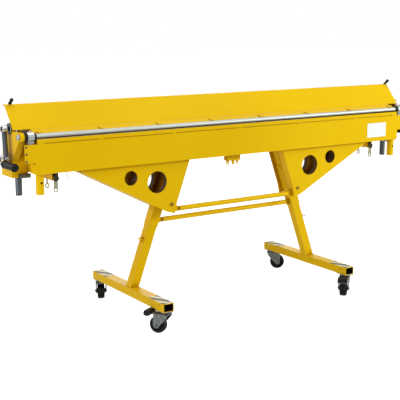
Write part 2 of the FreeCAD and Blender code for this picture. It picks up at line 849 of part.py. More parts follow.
def make_apron_hubs():
    arm_top = "fold_z - arm_top_drop"
    hub = new_body("apron_hub")
    add(hub, "collar", "YZ_Plane", "hub_start", "hub_end", ("fold_y", "fold_z", "hub_radius"))
    add(hub, "arm", "YZ_Plane", "arm_start", "arm_end",
        rectangle("apron_back", "apron_back + arm_depth", "ear_low + arm_low", arm_top))
    take(hub, "hub_bore", "YZ_Plane", "hub_start", "hub_end",
         ("fold_y", "fold_z", "bush_radius + running_gap"))
    both_ends("apron_hubs", hub)
    pivot = (0, "fold_y", "fold_z")
    both_ends("hub_bushes", sleeve("hub_bush", "X", "hub_start", "hub_end",
                                   "pivot_radius + running_gap", "bush_radius", pivot))
    both_ends("hub_end_rings", turned("hub_end_ring", "X", [
        ("ring_start", "pivot_radius + side_gap"), ("hub_start", "pivot_radius + side_gap"),
        ("hub_start", "ring_radius"), ("ring_start + small_chamfer", "ring_radius"),
        ("ring_start", "ring_radius - small_chamfer")], pivot))
    head = "apron_front - ear_screw_head"
    screws = []
    for drop in ("ear_screw_first", "ear_screw_second", "ear_screw_third"):
        screws.append(turned(drop + "_head", "Y", [
            (head, 0), ("apron_front", 0), ("apron_front", "ear_screw_radius"),
            ("apron_front - ear_screw_head / 2", "ear_screw_radius"), (head, "ear_screw_dome")],
            ("apron_half + ear_width - ear_screw_edge", 0, "apron_top - " + drop)))
    both_ends("ear_screws", *screws)


def make_handle_sockets():
    plate_bottom = "apron_bottom - socket_plate"
    socket = new_body("socket")
    add(socket, "socket_flat", "XY_Plane", plate_bottom, "apron_bottom",
        rectangle("socket_x - socket_radius", "socket_x + socket_radius", "apron_front",
                  "bed_front - side_gap"))
    add(socket, "socket_tube", "XY_Plane", "apron_bottom - socket_length", plate_bottom,
        ("socket_x", "socket_y", "socket_radius"))
    take(socket, "socket_hole", "XY_Plane", "apron_bottom - socket_length",
         "apron_bottom - socket_top", ("socket_x", "socket_y", "socket_bore"))
    take(socket, "set_screw_hole", "XZ_Plane", "socket_y - socket_radius", "socket_y",
         ("socket_x", "apron_bottom - set_screw_drop", "set_screw_radius"))
    both_ends("handle_sockets", socket)


def make_clamping_beam():
    skin = new_body("skin")
    add(skin, "skin_plate", "YZ_Plane", "-skin_half", "skin_half", [
        ("skin_foot_y", "skin_foot_z"), ("skin_top_y", "skin_top_z"),
        ("skin_top_y + skin_flange", "skin_top_z"), ("skin_top_y + skin_flange", "flange_bottom"),
        ("box_top_front", "flange_bottom"), ("skin_inner_y", "skin_foot_z")])
    node("clamp_skin", skin)
    box = new_body("beam_box")
    add(box, "box_outside", "YZ_Plane", "-box_half", "box_half", [
        ("box_front", "box_bottom"), ("box_top_front", "flange_bottom"),
        ("box_back", "flange_bottom"), ("box_back", "box_bottom")])
    slant = "box_wall / cos(skin_tilt)"
    rise = "box_wall * tan(skin_tilt)"
    take(box, "box_inside", "YZ_Plane", "box_wall - box_half", "box_half - box_wall", [
        ("box_front + %s + %s" % (slant, rise), "box_bottom + box_wall"),
        ("box_top_front + %s - %s" % (slant, rise), "flange_bottom - box_wall"),
        ("box_back - box_wall", "flange_bottom - box_wall"),
        ("box_back - box_wall", "box_bottom + box_wall")])
    node("clamp_box", box)
    bar = (0, "fold_y", "fold_z")
    node("nose_bar", turned("bar", "X", [
        ("-bar_half", 0), ("bar_half", 0), ("bar_half", "bar_radius - small_chamfer"),
        ("bar_half - small_chamfer", "bar_radius"), ("small_chamfer - bar_half", "bar_radius"),
        ("-bar_half", "bar_radius - small_chamfer")], bar))
    lip = new_body("lip")
    add(lip, "lip_plate", "YZ_Plane", "-bar_half", "bar_half", [
        ("fold_y + lip_front", "bar_top - lip_bar_cover"), ("skin_foot_y", "skin_foot_z"),
        ("skin_inner_y", "skin_foot_z"), ("box_front", "box_bottom"),
        ("box_front + lip_thickness / cos(skin_tilt)", "box_bottom"),
        ("skin_inner_y + lip_heel", "skin_foot_z - lip_thickness"),
        ("fold_y + bar_radius - lip_under", "fold_z + lip_front")])
    for count in range(8):
        middle = "(%d - 3.5) * tab_pitch" % count
        add(lip, "tab_%d" % count, "YZ_Plane", middle + " - tab_width / 2",
            middle + " + tab_width / 2", [
                ("fold_y", "bar_top - lip_bar_cover"), ("fold_y", "bar_top + tab_foot"),
                ("fold_y + tab_front", "bar_top + tab_front_rise"),
                ("skin_foot_y - tab_back", "bar_top + tab_back_rise"),
                ("skin_foot_y - tab_back", "bar_top + tab_foot"),
                ("fold_y + tab_root", "bar_top - small_chamfer")])
    seat = plain_rod("lip_seat", "X", "-bar_half - end_gap", "bar_half + end_gap", "bar_radius", bar)
    node("nose_lip", cut("nose_lip_cut", lip, seat))


def make_beam_lift():
    plate = new_body("lift_plate_body")
    inner_front = "skin_foot_z + (lift_front - skin_inner_y) / tan(skin_tilt)"
    inner_top = "skin_inner_y + (lift_top - skin_foot_z) * tan(skin_tilt)"
    add(plate, "lift_web", "YZ_Plane", "lift_plate_start", "lift_plate_end", [
        ("lift_front", "lift_bottom"), ("lift_front", inner_front), (inner_top, "lift_top"),
        ("lift_back", "lift_top"), ("lift_back", "lift_bottom")])
    edge = "rod_radius + lift_foot_edge"
    add(plate, "lift_foot_plate", "YZ_Plane", "spring_x - (%s)" % edge, "lift_plate_start",
        rectangle("spring_y - (%s)" % edge, "spring_y + " + edge, "lift_bottom",
                  "lift_bottom + lift_foot"))
    slot = "shaft_radius + shaft_slot_gap"
    take(plate, "shaft_slot", "YZ_Plane", "lift_plate_start", "lift_plate_end",
         rectangle("shaft_y - (%s)" % slot, "shaft_y + " + slot,
                   "shaft_z - lift_travel - (%s)" % slot, "shaft_z + " + slot))
    reach = "pin_radius + slot_clearance"
    take(plate, "pin_slot", "YZ_Plane", "lift_plate_start", "lift_plate_end",
         rectangle("pin_y - pin_radius - slot_run_out", "shaft_y - shaft_radius",
                   "pin_z - (%s)" % reach, "pin_z + " + reach))
    both_ends("lift_plates", plate)
    foot = "rod_bottom - rod_plate"
    rod = turned("spring_rod", "Z", [
        (foot, 0), ("lift_bottom", 0), ("lift_bottom", "rod_radius"), ("rod_bottom", "rod_radius"),
        ("rod_bottom", "spring_radius"), (foot, "spring_radius")], ("spring_x", "spring_y", 0))
    both_ends("spring_rods", rod)
    both_ends("lift_springs", sleeve("lift_spring", "Z", "housing_bottom + housing_floor", foot,
                                     "spring_radius - spring_wire", "spring_radius",
                                     ("spring_x", "spring_y", 0)))


def make_clamp_shaft():
    end = "lever_end + shaft_overhang"
    node("clamp_shaft", plain_rod("shaft", "X", "-(%s)" % end, end, "shaft_radius",
                                  (0, "shaft_y", "shaft_z")))
    flat = "crank_hub_flat"
    corner = "crank_boss_flat"
    crank = new_body("crank")
    add(crank, "crank_web", "YZ_Plane", "crank_start", "crank_end", [
        ("shaft_y - " + flat, "shaft_z + " + flat), ("pin_y - " + corner, "pin_z + " + corner),
        ("pin_y + " + corner, "pin_z - " + corner), ("shaft_y + " + flat, "shaft_z - " + flat)])
    add(crank, "crank_hub", "YZ_Plane", "crank_start", "crank_end",
        ("shaft_y", "shaft_z", "crank_hub_radius"))
    add(crank, "crank_boss", "YZ_Plane", "crank_start", "crank_end",
        ("pin_y", "pin_z", "pin_boss_radius"))
    add(crank, "crank_pin", "YZ_Plane", "crank_end", "lift_plate_end + shaft_overhang",
        ("pin_y", "pin_z", "pin_radius"))
    take(crank, "crank_bore", "YZ_Plane", "crank_start", "crank_end",
         ("shaft_y", "shaft_z", "shaft_radius + running_gap"))
    both_ends("clamp_cranks", crank)


def make_levers():
    bore = "shaft_radius + running_gap"
    both_ends("lever_hubs", turned("lever_hub", "X", [
        ("lever_start", bore), ("lever_end", bore),
        ("lever_end", "lever_hub_radius - flange_chamfer"),
        ("lever_end - flange_chamfer", "lever_hub_radius"),
        ("lever_start + flange_chamfer", "lever_hub_radius"),
        ("lever_start", "lever_hub_radius - flange_chamfer")], (0, "shaft_y", "shaft_z")))
    lean = "atan(lever_reach / lever_drop)"
    length = "sqrt(lever_reach ^ 2 + lever_drop ^ 2)"
    rod_end = "lever_foot_y - handle_stub"
    tube = turned("lever_tube", "Z", [
        ("-(%s)" % length, 0), ("-lever_hub_radius", 0), ("-lever_hub_radius", "lever_radius"),
        ("-(%s) + lever_chamfer" % length, "lever_radius"),
        ("-(%s)" % length, "lever_radius - lever_chamfer")], ("lever_x", "shaft_y", "shaft_z"),
        (-1, 0, 0), lean)
    hole = plain_rod("lever_tube_hole", "Y", rod_end, "handle_back", "handle_radius + side_gap",
                     ("lever_x", 0, "handle_top"))
    both_ends("lever_tubes", cut("bored_lever_tube", tube, hole))
    upper = plain_rod("handle_upper", "Y", rod_end, "handle_back", "handle_radius",
                      ("lever_x", 0, "handle_top"))
    lower = plain_rod("handle_lower", "Y", "grip_front + grip_end", "handle_back", "handle_radius",
                      ("lever_x", 0, "grip_z"))
    bend = torus("handle_bend", "handle_spread / 2", "handle_radius",
                 ("lever_x", "handle_back", "grip_z + handle_spread / 2"), (0, 1, 0), 90)
    bend.Angle3 = 180
    both_ends("lever_handles", fuse("lever_handle", upper, lower, bend))
    bore = "handle_radius + running_gap"
    front_swell = "grip_front + grip_front_swell"
    back_swell = "grip_back - grip_back_swell"
    both_ends("lever_grips", turned("grip", "Y", [
        ("grip_front", 0), ("grip_front", "grip_radius - grip_round"),
        ("grip_front + grip_round", "grip_radius"), (front_swell, "grip_radius"),
        (front_swell + " + grip_swell_run", "grip_waist"),
        (back_swell + " - grip_swell_run", "grip_waist"), (back_swell, "grip_radius"),
        ("grip_back", "grip_radius"), ("grip_back", bore), ("grip_front + grip_end", bore),
        ("grip_front + grip_end", 0)], ("lever_x", 0, "grip_z")))


def make_beam_knobs():
    for side in ("left", "right"):
        x = side + "_knob_x"
        knob = turned("knob_" + side, "Z", [
            (0, 0), (0, "knob_neck"), ("knob_neck_height", "knob_neck"),
            ("knob_swell", "knob_radius - knob_shoulder"),
            ("knob_length - knob_neck", "knob_radius"),
            ("knob_length - small_chamfer", "knob_radius - small_chamfer"),
            ("knob_length", "knob_neck"), ("knob_length", 0)], (x, "knob_y", "knob_z"),
            (1, 0, 0), "knob_lean")
        barrel = plain_rod("knob_barrel_" + side, "X", x + " - knob_barrel_half",
                           x + " + knob_barrel_half", "knob_barrel", (0, "knob_y", "knob_z"))
        node("beam_knob_" + side, fuse("knob_on_barrel_" + side, knob, barrel))


def leg_at(height, across):
    """X of a line along the leg, at a height, that lies across from the leg's centre line."""
    return "leg_x - ((%s) - foot_top) * tan(leg_tilt) + (%s) / cos(leg_tilt)" % (height, across)


def leg_square_end(height, across):
    """A point across from the leg's centre line, square to it, where it crosses a height."""
    return ("leg_x - ((%s) - foot_top) * tan(leg_tilt) + (%s) * cos(leg_tilt)" % (height, across),
            "(%s) + (%s) * sin(leg_tilt)" % (height, across))


def leg_outline(bottom, top, half):
    """A leg's outline in front view, level at the bottom and square at the top."""
    return [(leg_at(bottom, "-(%s)" % half), bottom), leg_square_end(top, "-(%s)" % half),
            leg_square_end(top, half), (leg_at(bottom, half), bottom)]


def sleeve_outline(half):
    """A leg sleeve's outline in front view, square at the bottom and level at the bed."""
    return [leg_square_end("sleeve_bottom", "-(%s)" % half),
            (leg_at("bed_bottom", "-(%s)" % half), "bed_bottom"),
            (leg_at("bed_bottom", half), "bed_bottom"), leg_square_end("sleeve_bottom", half)]


def make_legs():
    outer = new_body("sleeve_body")
    add(outer, "sleeve_walls", "XZ_Plane", "leg_y - sleeve_half", "leg_y + sleeve_half",
        sleeve_outline("sleeve_half"))
    take(outer, "sleeve_inside", "XZ_Plane", "leg_y - sleeve_half + sleeve_wall",
         "leg_y + sleeve_half - sleeve_wall", sleeve_outline("sleeve_half - sleeve_wall"))
    both_ends("leg_sleeves", outer)
    tube = new_body("tube_body")
    level = "foot_top + tube_gap"
    add(tube, "tube_walls", "XZ_Plane", "leg_y - tube_half", "leg_y + tube_half",
        leg_outline(level, "tube_top", "tube_half"))
    take(tube, "tube_inside", "XZ_Plane", "leg_y - tube_half + tube_wall",
         "leg_y + tube_half - tube_wall", leg_outline(level, "tube_top", "tube_half - tube_wall"))
    centre = ("screw_x", "leg_y", "screw_height")
    boss = plain_rod("tube_boss", "X", "tube_half - boss_sink", "tube_half + boss_length",
                     "boss_radius", centre, (0, -1, 0), "leg_tilt")
    bore = plain_rod("boss_bore", "X", "tube_half - tube_wall - boss_sink",
                     "tube_half + boss_length + boss_sink", "screw_radius + running_gap", centre,
                     (0, -1, 0), "leg_tilt")
    both_ends("leg_tubes", cut("bored_tube", fuse("tube_with_boss", tube, boss), bore))


def make_lock_screws():
    """Screws with a cross bar that press on the posts inside the leg tubes."""
    tip = "post_half + side_gap"
    head = "tube_half + boss_length + side_gap"
    end = head + " + screw_head_length"
    screw = new_body("lock_screw")
    revolve(screw, "lock_screw", [
        (tip, 0), (end, 0), (end, "screw_head_radius - screw_head_chamfer"),
        (end + " - screw_head_chamfer", "screw_head_radius"), (head, "screw_head_radius"),
        (head, "screw_radius"), (tip, "screw_radius")])
    add(screw, "cross_bar", "XZ_Plane", "-handle_bar_half", "handle_bar_half",
        (head + " + screw_head_length / 2", 0, "handle_bar_radius"))
    place(screw, ("screw_x", "leg_y", "screw_height"), (0, -1, 0), "leg_tilt")
    pair("lock_screw", screw)


def gusset_outline():
    return [(leg_at("bed_bottom", 0) + " - gusset_inset", "bed_bottom"),
            ("gusset_knee_x", "gusset_knee"),
            ("gusset_bottom_x", "gusset_bottom"), ("gusset_heel_x", "gusset_heel"),
            ("gusset_tip_x", "gusset_tip"), ("gusset_tip_x + gusset_tip_step", "bed_bottom")]


def make_gussets():
    """Plates on both sides of each leg, with rings in their holes and a floor between them."""
    edge = gusset_outline()
    front = new_body("gusset")
    add(front, "gusset_sheet", "XZ_Plane", "bed_front", "gusset_inside", edge)
    front_holes = [("large_hole_x", "large_hole_z", "large_hole", "large_liner"),
                   ("small_hole_x", "small_hole_z", "small_hole", "small_liner")]
    for count, (x, z, radius, depth) in enumerate(front_holes):
        take(front, "gusset_hole_%d" % count, "XZ_Plane", "bed_front", "gusset_inside",
             (x, z, radius))
        add(front, "gusset_liner_%d" % count, "XZ_Plane", "gusset_inside",
            "gusset_inside + " + depth, (x, z, radius + " + hole_liner_wall"), (x, z, radius))
    inside = [(x + " + gusset_thickness", z) for x, z in edge[:3]]
    add(front, "gusset_flange", "XZ_Plane", "gusset_inside", "bed_front + gusset_return",
        edge[:3] + inside[::-1])
    above = " + gusset_thickness"
    add(front, "gusset_rim", "XZ_Plane", "gusset_inside", "bed_front + gusset_lip", [
        edge[3], edge[4], (edge[4][0], edge[4][1] + above), (edge[3][0], edge[3][1] + above)])
    add(front, "gusset_floor", "XZ_Plane", "bed_front + gusset_lip", "gusset_back", [
        ("gusset_floor_x", "gusset_floor_z"), edge[4], (edge[4][0], edge[4][1] + above),
        ("gusset_floor_x", "gusset_floor_z" + above)])
    pair("gusset", front)
    rear = new_body("gusset_back")
    add(rear, "back_sheet", "XZ_Plane", "gusset_back", "gusset_back + gusset_thickness", edge)
    back_holes = [("large_hole_x + back_hole_shift", "large_hole_z", "back_large_hole"),
                  ("small_hole_x + back_hole_shift", "small_hole_z", "small_hole")]
    for count, (x, z, radius) in enumerate(back_holes):
        take(rear, "back_hole_%d" % count, "XZ_Plane", "gusset_back",
             "gusset_back + gusset_thickness", (x, z, radius))
        add(rear, "back_liner_%d" % count, "XZ_Plane", "gusset_back - large_liner", "gusset_back",
            (x, z, radius + " + hole_liner_wall"), (x, z, radius))
    both_ends("gusset_backs", rear)


def make_crossbars():
    """Round bars with flattened ends between the two gussets and between the two legs."""
    def flange_x(height):
        return ("gusset_knee_x + (gusset_knee - (%s)) * gusset_foot_run / gusset_foot_drop"
                % height)

    def leg_side(height):
        return leg_at(height, "-sleeve_half")
    for name, y, z, half, side, low, high in (
            ("upper", "upper_bar_y", "upper_bar_z", "upper_bar_half", flange_x, "tail_low",
             "tail_high"),
            ("lower", "leg_y", "lower_bar_z", "lower_bar_half", leg_side, "tail_spread",
             "tail_spread")):
        bar = new_body(name + "_bar")
        add(bar, name + "_rod", "YZ_Plane", "-" + half, half, (y, z, "crossbar_radius"))
        root = half + " - tail_overlap"
        bottom = "%s - %s" % (z, low)
        top = "%s + %s" % (z, high)
        for sign, end in (("", "right"), ("-", "left")):
            add(bar, "%s_tail_%s" % (name, end), "XZ_Plane", y + " - tail_half", y + " + tail_half", [
                (sign + "(%s)" % root, z + " - tail_root"), (sign + "(%s)" % side(bottom), bottom),
                (sign + "(%s)" % side(top), top), (sign + "(%s)" % root, z + " + tail_root")])
        node("crossbar_" + name, bar)


def make_frame_bolts():
    """Bolts that hold each front gusset off the leg, and the bolts through the sleeves."""
    head = "bed_front - front_bolt_head"
    front = turned("gusset_bolt", "Y", [
        (head, 0), (head, "front_bolt_radius - front_bolt_dome"),
        (head + " + front_bolt_dome", "front_bolt_radius"), ("bed_front", "front_bolt_radius"),
        ("bed_front", 0)], ("front_bolt_x", 0, "front_bolt_z"))
    spacer = plain_rod("gusset_spacer", "Y", "gusset_inside", "leg_y - sleeve_half",
                       "front_spacer_radius", ("front_bolt_x", 0, "front_bolt_z"))
    dome = turned("sleeve_bolt", "X", [
        ("sleeve_half", 0), ("sleeve_half", "dome_radius"),
        ("sleeve_half + dome_low", "dome_shoulder"), ("sleeve_half + dome_high", "dome_crown"),
        ("sleeve_half + dome_height", 0)], ("dome_x", "leg_y", "dome_z"), (0, -1, 0),
        "leg_tilt + 180")
    both_ends("frame_bolts", front, spacer, dome)


def make_feet():
    foot = new_body("foot")
    add(foot, "foot_tube", "XZ_Plane", "-foot_half", "foot_half",
        rectangle("foot_inner", "foot_outer", "foot_bottom", "foot_top"))
    take(foot, "foot_inside", "XZ_Plane", "-foot_half", "foot_half",
         rectangle("foot_inner + foot_wall", "foot_outer - foot_wall", "foot_floor",
                   "foot_top - foot_wall"))
    for name, hole_y in (("front", "-foot_hole_y"), ("back", "foot_hole_y")):
        take(foot, "foot_hole_" + name, "YZ_Plane", "foot_inner", "foot_outer",
             (hole_y, "foot_hole_z", "foot_hole"))
    add(foot, "foot_post", "XZ_Plane", "leg_y - post_half", "leg_y + post_half",
        leg_outline("foot_top", "post_top", "post_half"))
    pair("foot", foot)
    plates = []
    for name, y in (("front", "-castor_y"), ("back", "castor_y")):
        top = new_body("castor_plate_" + name)
        add(top, "castor_top_" + name, "XY_Plane", "castor_plate_z", "foot_bottom",
            rectangle("foot_inner + castor_plate_inset", "foot_outer - castor_plate_inset",
                      y + " - castor_plate_length / 2", y + " + castor_plate_length / 2"))
        pin = ("foot_x", y)
        add(top, "raceway_" + name, "XY_Plane", "raceway_bottom", "castor_plate_z",
            pin + ("raceway_radius",))
        add(top, "kingpin_" + name, "XY_Plane", "fork_bottom - side_gap", "raceway_bottom",
            pin + ("kingpin_radius",))
        add(top, "kingpin_head_" + name, "XY_Plane", "fork_bottom - side_gap - kingpin_head",
            "fork_bottom - side_gap", pin + ("kingpin_head_radius",))
        nut = plain_rod("castor_nut_" + name, "Z", "foot_floor", "foot_floor + castor_nut_height",
                        "castor_nut_radius", ("foot_x", y, 0))
        plates += [top, nut]
    node("castor_plates_right", group("castor_plates_right_group", plates))
    node("castor_plates_left", group("castor_plates_left_group",
                                     [mirrored(plate) for plate in plates]))


# Which way each castor trails, as an angle from straight forward, and whether it has a brake.
CASTORS = {
    "front_left": ("-foot_x", "-castor_y", -150, True),
    "front_right": ("foot_x", "-castor_y", -50, True),
    "back_left": ("-foot_x", "castor_y", 156, True),
    "back_right": ("foot_x", "castor_y", 56, False),
}


def make_castor(name, x, y, heading, braked):
    """Fork, wheel and brake pedal, drawn trailing forward and then turned to their heading."""
    centre = (x, y, 0)
    fork = new_body("fork_" + name)
    prefix = "fork_%s_" % name
    add(fork, prefix + "top", "XY_Plane", "fork_bottom", "fork_top", (0, 0, "fork_radius"))
    add(fork, prefix + "bridge", "XY_Plane", "fork_bottom", "fork_bottom + fork_bridge",
        rectangle("-fork_outer", "fork_outer", "-bridge_back", "cheek_front"))
    for side, low, high in (("right", "fork_half", "fork_outer"),
                            ("left", "-fork_outer", "-fork_half")):
        add(fork, prefix + "cheek_" + side, "YZ_Plane", low, high, [
            ("cheek_front", "fork_bottom + fork_bridge"), ("-cheek_back", "fork_bottom + fork_bridge"),
            ("-cheek_bulge", "wheel_radius + cheek_bulge_rise"),
            ("-castor_trail - cheek_round", "wheel_radius - cheek_tip"),
            ("-castor_trail - cheek_tip", "wheel_radius - cheek_round"),
            ("-castor_trail + cheek_tip", "wheel_radius - cheek_round"),
            ("-castor_trail + cheek_round", "wheel_radius - cheek_tip"),
            ("cheek_nose", "fork_bottom - cheek_nose_drop")])
    reach = "fork_outer + axle_head"
    add(fork, prefix + "axle", "YZ_Plane", "-(%s)" % reach, reach,
        ("-castor_trail", "wheel_radius", "axle_radius"))
    take(fork, prefix + "bore", "XY_Plane", "fork_bottom", "fork_top",
         (0, 0, "kingpin_radius + running_gap"))
    place(fork, centre, (0, 0, 1), heading)
    node("castor_fork_" + name, fork)
    bore = "axle_radius + running_gap"
    rim = [("wheel_hub_radius", "hub_half"), ("wheel_hub_radius", "web_half"),
           ("wheel_radius - wheel_web", "web_half"),
           ("wheel_radius - wheel_dish", "wheel_width / 2 - wheel_round / 2"),
           ("wheel_radius - wheel_rim_high", "wheel_width / 2"),
           ("wheel_radius - wheel_rim_low", "wheel_width / 2"),
           ("wheel_radius - wheel_round / 2", "wheel_width / 2 - wheel_round"),
           ("wheel_radius", "wheel_width / 2 - wheel_shoulder")]
    right = [(along, radius) for radius, along in rim]
    left = [("-(%s)" % along, radius) for along, radius in right[::-1]]
    wheel = turned("wheel_" + name, "X", [("-hub_half", bore), ("hub_half", bore)] + right + left,
                   (x + " + castor_trail * sin(%s)" % heading,
                    y + " - castor_trail * cos(%s)" % heading, "wheel_radius"), (0, 0, 1), heading)
    node("castor_wheel_" + name, wheel)
    if not braked:
        return
    pedal = new_body("pedal_" + name)
    prefix = "pedal_%s_" % name
    add(pedal, prefix + "pin", "YZ_Plane", "-hub_half", "hub_half",
        ("-pedal_pin_y", "pedal_pin_z", "pedal_pin_radius"))
    add(pedal, prefix + "arm", "YZ_Plane", "-pedal_arm_half", "pedal_arm_half", [
        ("-pedal_arm_start", "pedal_arm_low"), ("-pedal_arm_start", "pedal_arm_high"),
        ("-pedal_knee", "pedal_knee_high"), ("-pedal_start", "pedal_top - pedal_round"),
        ("-pedal_start", "pedal_neck"), ("-pedal_knee", "pedal_knee_low")])
    add(pedal, prefix + "pad", "YZ_Plane", "-pedal_half", "pedal_half", [
        ("-pedal_start", "pedal_neck"), ("-pedal_start", "pedal_top - pedal_round"),
        ("-pedal_start - pedal_round", "pedal_top"), ("-pedal_end + 2 * pedal_round", "pedal_top"),
        ("-pedal_end + pedal_round / 2", "pedal_top - pedal_round / 2"),
        ("-pedal_end", "pedal_top - 2 * pedal_round"), ("-pedal_end", "pedal_bottom + pedal_round"),
        ("-pedal_end + pedal_round", "pedal_bottom"),
        ("-pedal_start - 2 * pedal_round", "pedal_bottom")])
    place(pedal, centre, (0, 0, 1), heading)
    node("brake_pedal_" + name, pedal)


def make_underside():
    half = "bracket_width / 2"
    bracket = block("hook_block", ("bracket_x - " + half, "bracket_x + " + half),
                    ("bracket_y", "bracket_y + bracket_length"), ("bracket_bottom", "bed_bottom"))
    face = "link_front - side_gap"
    pin = turned("link_pin", "Y", [
        ("bracket_y", 0), ("bracket_y", "link_pin_radius"), (face, "link_pin_radius"),
        (face, "link_pin_head"), (face + " - link_pin_head_width", "link_pin_head"),
        (face + " - link_pin_head_width", 0)], ("bracket_x", 0, "link_pin_z"))
    loops = new_body("loops")
    block_bottom = "bed_bottom - loop_block_height"
    add(loops, "loop_block", "XY_Plane", block_bottom, "bed_bottom",
        rectangle("-loop_block_half", "loop_block_half", "-loop_block_front", "-loop_block_back"))
    for name in ("loop_left", "loop_middle", "loop_right"):
        eye = (name, "bed_bottom - loop_drop", "loop_radius")
        low, high = "loop_y - loop_half", "loop_y + loop_half"
        add(loops, name + "_tab", "XZ_Plane", low, high, [
            (name + " - loop_radius", block_bottom), (name + " - loop_radius", eye[1]),
            (name + " + loop_radius", eye[1]), (name + " + loop_radius", block_bottom)])
        add(loops, name + "_end", "XZ_Plane", low, high, eye)
    for name in ("loop_left", "loop_right"):
        take(loops, name + "_hole", "XZ_Plane", "loop_y - loop_half", "loop_y + loop_half",
             (name, "bed_bottom - loop_drop", "loop_hole"))
    pieces = [bracket, pin]
    node("underside_brackets", group("underside_group",
                                     pieces + [mirrored(piece) for piece in pieces] + [loops]))
    ring = torus("eye_ring", "ring_middle", "ring_wire",
                 ("bracket_x", "ring_y", "bracket_bottom - ring_drop"), (1, 0, 0), 90)
    stem = plain_rod("eye_stem", "Z", "bracket_bottom - ring_stem_length", "bracket_bottom",
                     "ring_stem", ("bracket_x", "ring_y", 0))
    hook = plain_rod("small_hook", "Z", "bed_bottom - hook_length", "bed_bottom", "hook_radius",
                     ("hook_x", "hook_y", 0))
    both_ends("eye_rings", fuse("eye_bolt", ring, stem), hook)
    link = new_body("link")
    add(link, "link_plate", "XZ_Plane", "link_front", "link_back", [
        ("bracket_x - link_neck", "link_pin_z"), ("bracket_x - link_eye_radius", "link_eye_z"),
        ("bracket_x + link_eye_radius", "link_eye_z"), ("bracket_x + link_neck", "link_pin_z")])
    add(link, "link_head", "XZ_Plane", "link_front", "link_back",
        ("bracket_x", "link_pin_z", "link_head_radius"))
    add(link, "link_eye", "XZ_Plane", "link_front", "link_back",
        ("bracket_x", "link_eye_z", "link_eye_radius"))
    take(link, "link_bore", "XZ_Plane", "link_front", "link_back",
         ("bracket_x", "link_pin_z", "link_pin_radius + running_gap"))
    take(link, "link_hole", "XZ_Plane", "link_front", "link_back",
         ("bracket_x", "link_eye_z", "link_hole_radius"))
    pair("link", link)


def write_parts():
    doc.recompute()
    for thing in doc.Objects:
        if "Invalid" in thing.State or "Error" in thing.State:
            raise RuntimeError("%s failed: %s" % (thing.Label, thing.State))
    for name, thing in nodes.items():
        if thing.Shape.isNull() or not thing.Shape.isValid():
            raise RuntimeError(name + " has no valid shape")
    os.makedirs("parts", exist_ok=True)
    for name, thing in nodes.items():
        thing.Shape.exportStep("parts/%s.step" % name)
        print(name, len(thing.Shape.Solids), round(thing.Shape.Volume))


fill_sheet()
make_bed()
make_end_frames()
make_frame_bearings()
make_spring_housings()
make_apron()
make_apron_hubs()
make_handle_sockets()
make_clamping_beam()
make_beam_lift()
make_clamp_shaft()
make_levers()
make_beam_knobs()
make_legs()
make_lock_screws()
make_gussets()
make_crossbars()
make_frame_bolts()
make_feet()
for castor, (castor_x, castor_y, heading, braked) in CASTORS.items():
    make_castor(castor, castor_x, castor_y, heading, braked)
make_underside()
write_parts()
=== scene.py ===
import json
import math

import bmesh
import bpy
from mathutils import Matrix, Vector

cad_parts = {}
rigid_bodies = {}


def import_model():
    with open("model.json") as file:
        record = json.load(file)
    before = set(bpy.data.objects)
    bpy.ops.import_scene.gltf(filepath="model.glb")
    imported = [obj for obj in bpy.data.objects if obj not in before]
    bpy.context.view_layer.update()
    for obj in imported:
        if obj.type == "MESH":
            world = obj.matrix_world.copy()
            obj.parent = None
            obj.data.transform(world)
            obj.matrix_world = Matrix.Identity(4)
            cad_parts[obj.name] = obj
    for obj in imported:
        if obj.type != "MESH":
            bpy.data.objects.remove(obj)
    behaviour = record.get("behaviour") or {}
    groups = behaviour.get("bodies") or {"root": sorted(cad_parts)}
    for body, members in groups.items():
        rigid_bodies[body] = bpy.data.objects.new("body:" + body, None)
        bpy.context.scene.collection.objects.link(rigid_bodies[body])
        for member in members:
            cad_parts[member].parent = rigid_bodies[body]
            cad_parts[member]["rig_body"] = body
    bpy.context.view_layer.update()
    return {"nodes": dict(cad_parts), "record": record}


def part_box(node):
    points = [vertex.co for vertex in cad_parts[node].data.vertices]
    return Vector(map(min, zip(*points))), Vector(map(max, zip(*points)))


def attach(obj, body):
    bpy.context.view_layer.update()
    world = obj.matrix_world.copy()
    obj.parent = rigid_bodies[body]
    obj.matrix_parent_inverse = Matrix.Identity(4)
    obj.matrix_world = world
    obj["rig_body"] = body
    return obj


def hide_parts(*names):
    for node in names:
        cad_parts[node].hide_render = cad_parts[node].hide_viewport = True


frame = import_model()

NODES = frame["nodes"]
BODY_OF = {node: thing["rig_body"] for node, thing in NODES.items()}
SLOT_OF = {part["node"]: part["material_slot"] for part in frame["record"]["subparts"]}
scene = bpy.context.scene


# Camera

CAMERA_PLACE = (-2.65994, -3.70677, 1.41799)
CAMERA_TURN = 34.077
CAMERA_TILT = -11.260
CAMERA_ROLL = 0.08
CAMERA_LENS = 82.46
CAMERA_SENSOR = 36.0
CAMERA_REACH = 50


def add_camera():
    """The camera of the photograph, from a pinhole fit to the machine's corners."""
    turn = math.radians(CAMERA_TURN)
    tilt = math.radians(CAMERA_TILT)
    ahead = Vector((math.sin(turn) * math.cos(tilt), math.cos(turn) * math.cos(tilt), math.sin(tilt)))
    data = bpy.data.cameras.new("photo_camera")
    data.lens = CAMERA_LENS
    data.sensor_width = CAMERA_SENSOR
    data.sensor_fit = "HORIZONTAL"
    data.clip_end = CAMERA_REACH
    camera = bpy.data.objects.new("photo_camera", data)
    aim = ahead.to_track_quat("-Z", "Y").to_matrix().to_4x4()
    roll = Matrix.Rotation(math.radians(CAMERA_ROLL), 4, "Z")
    camera.matrix_world = Matrix.Translation(CAMERA_PLACE) @ aim @ roll
    scene.collection.objects.link(camera)
    scene.camera = camera


# Light and floor

WHITE = (1.0, 1.0, 1.0)
WARM = (1.0, 0.95, 0.88)
GREENISH = (0.90, 1.0, 0.90)
PALE_GREEN = (0.92, 1.0, 0.92)

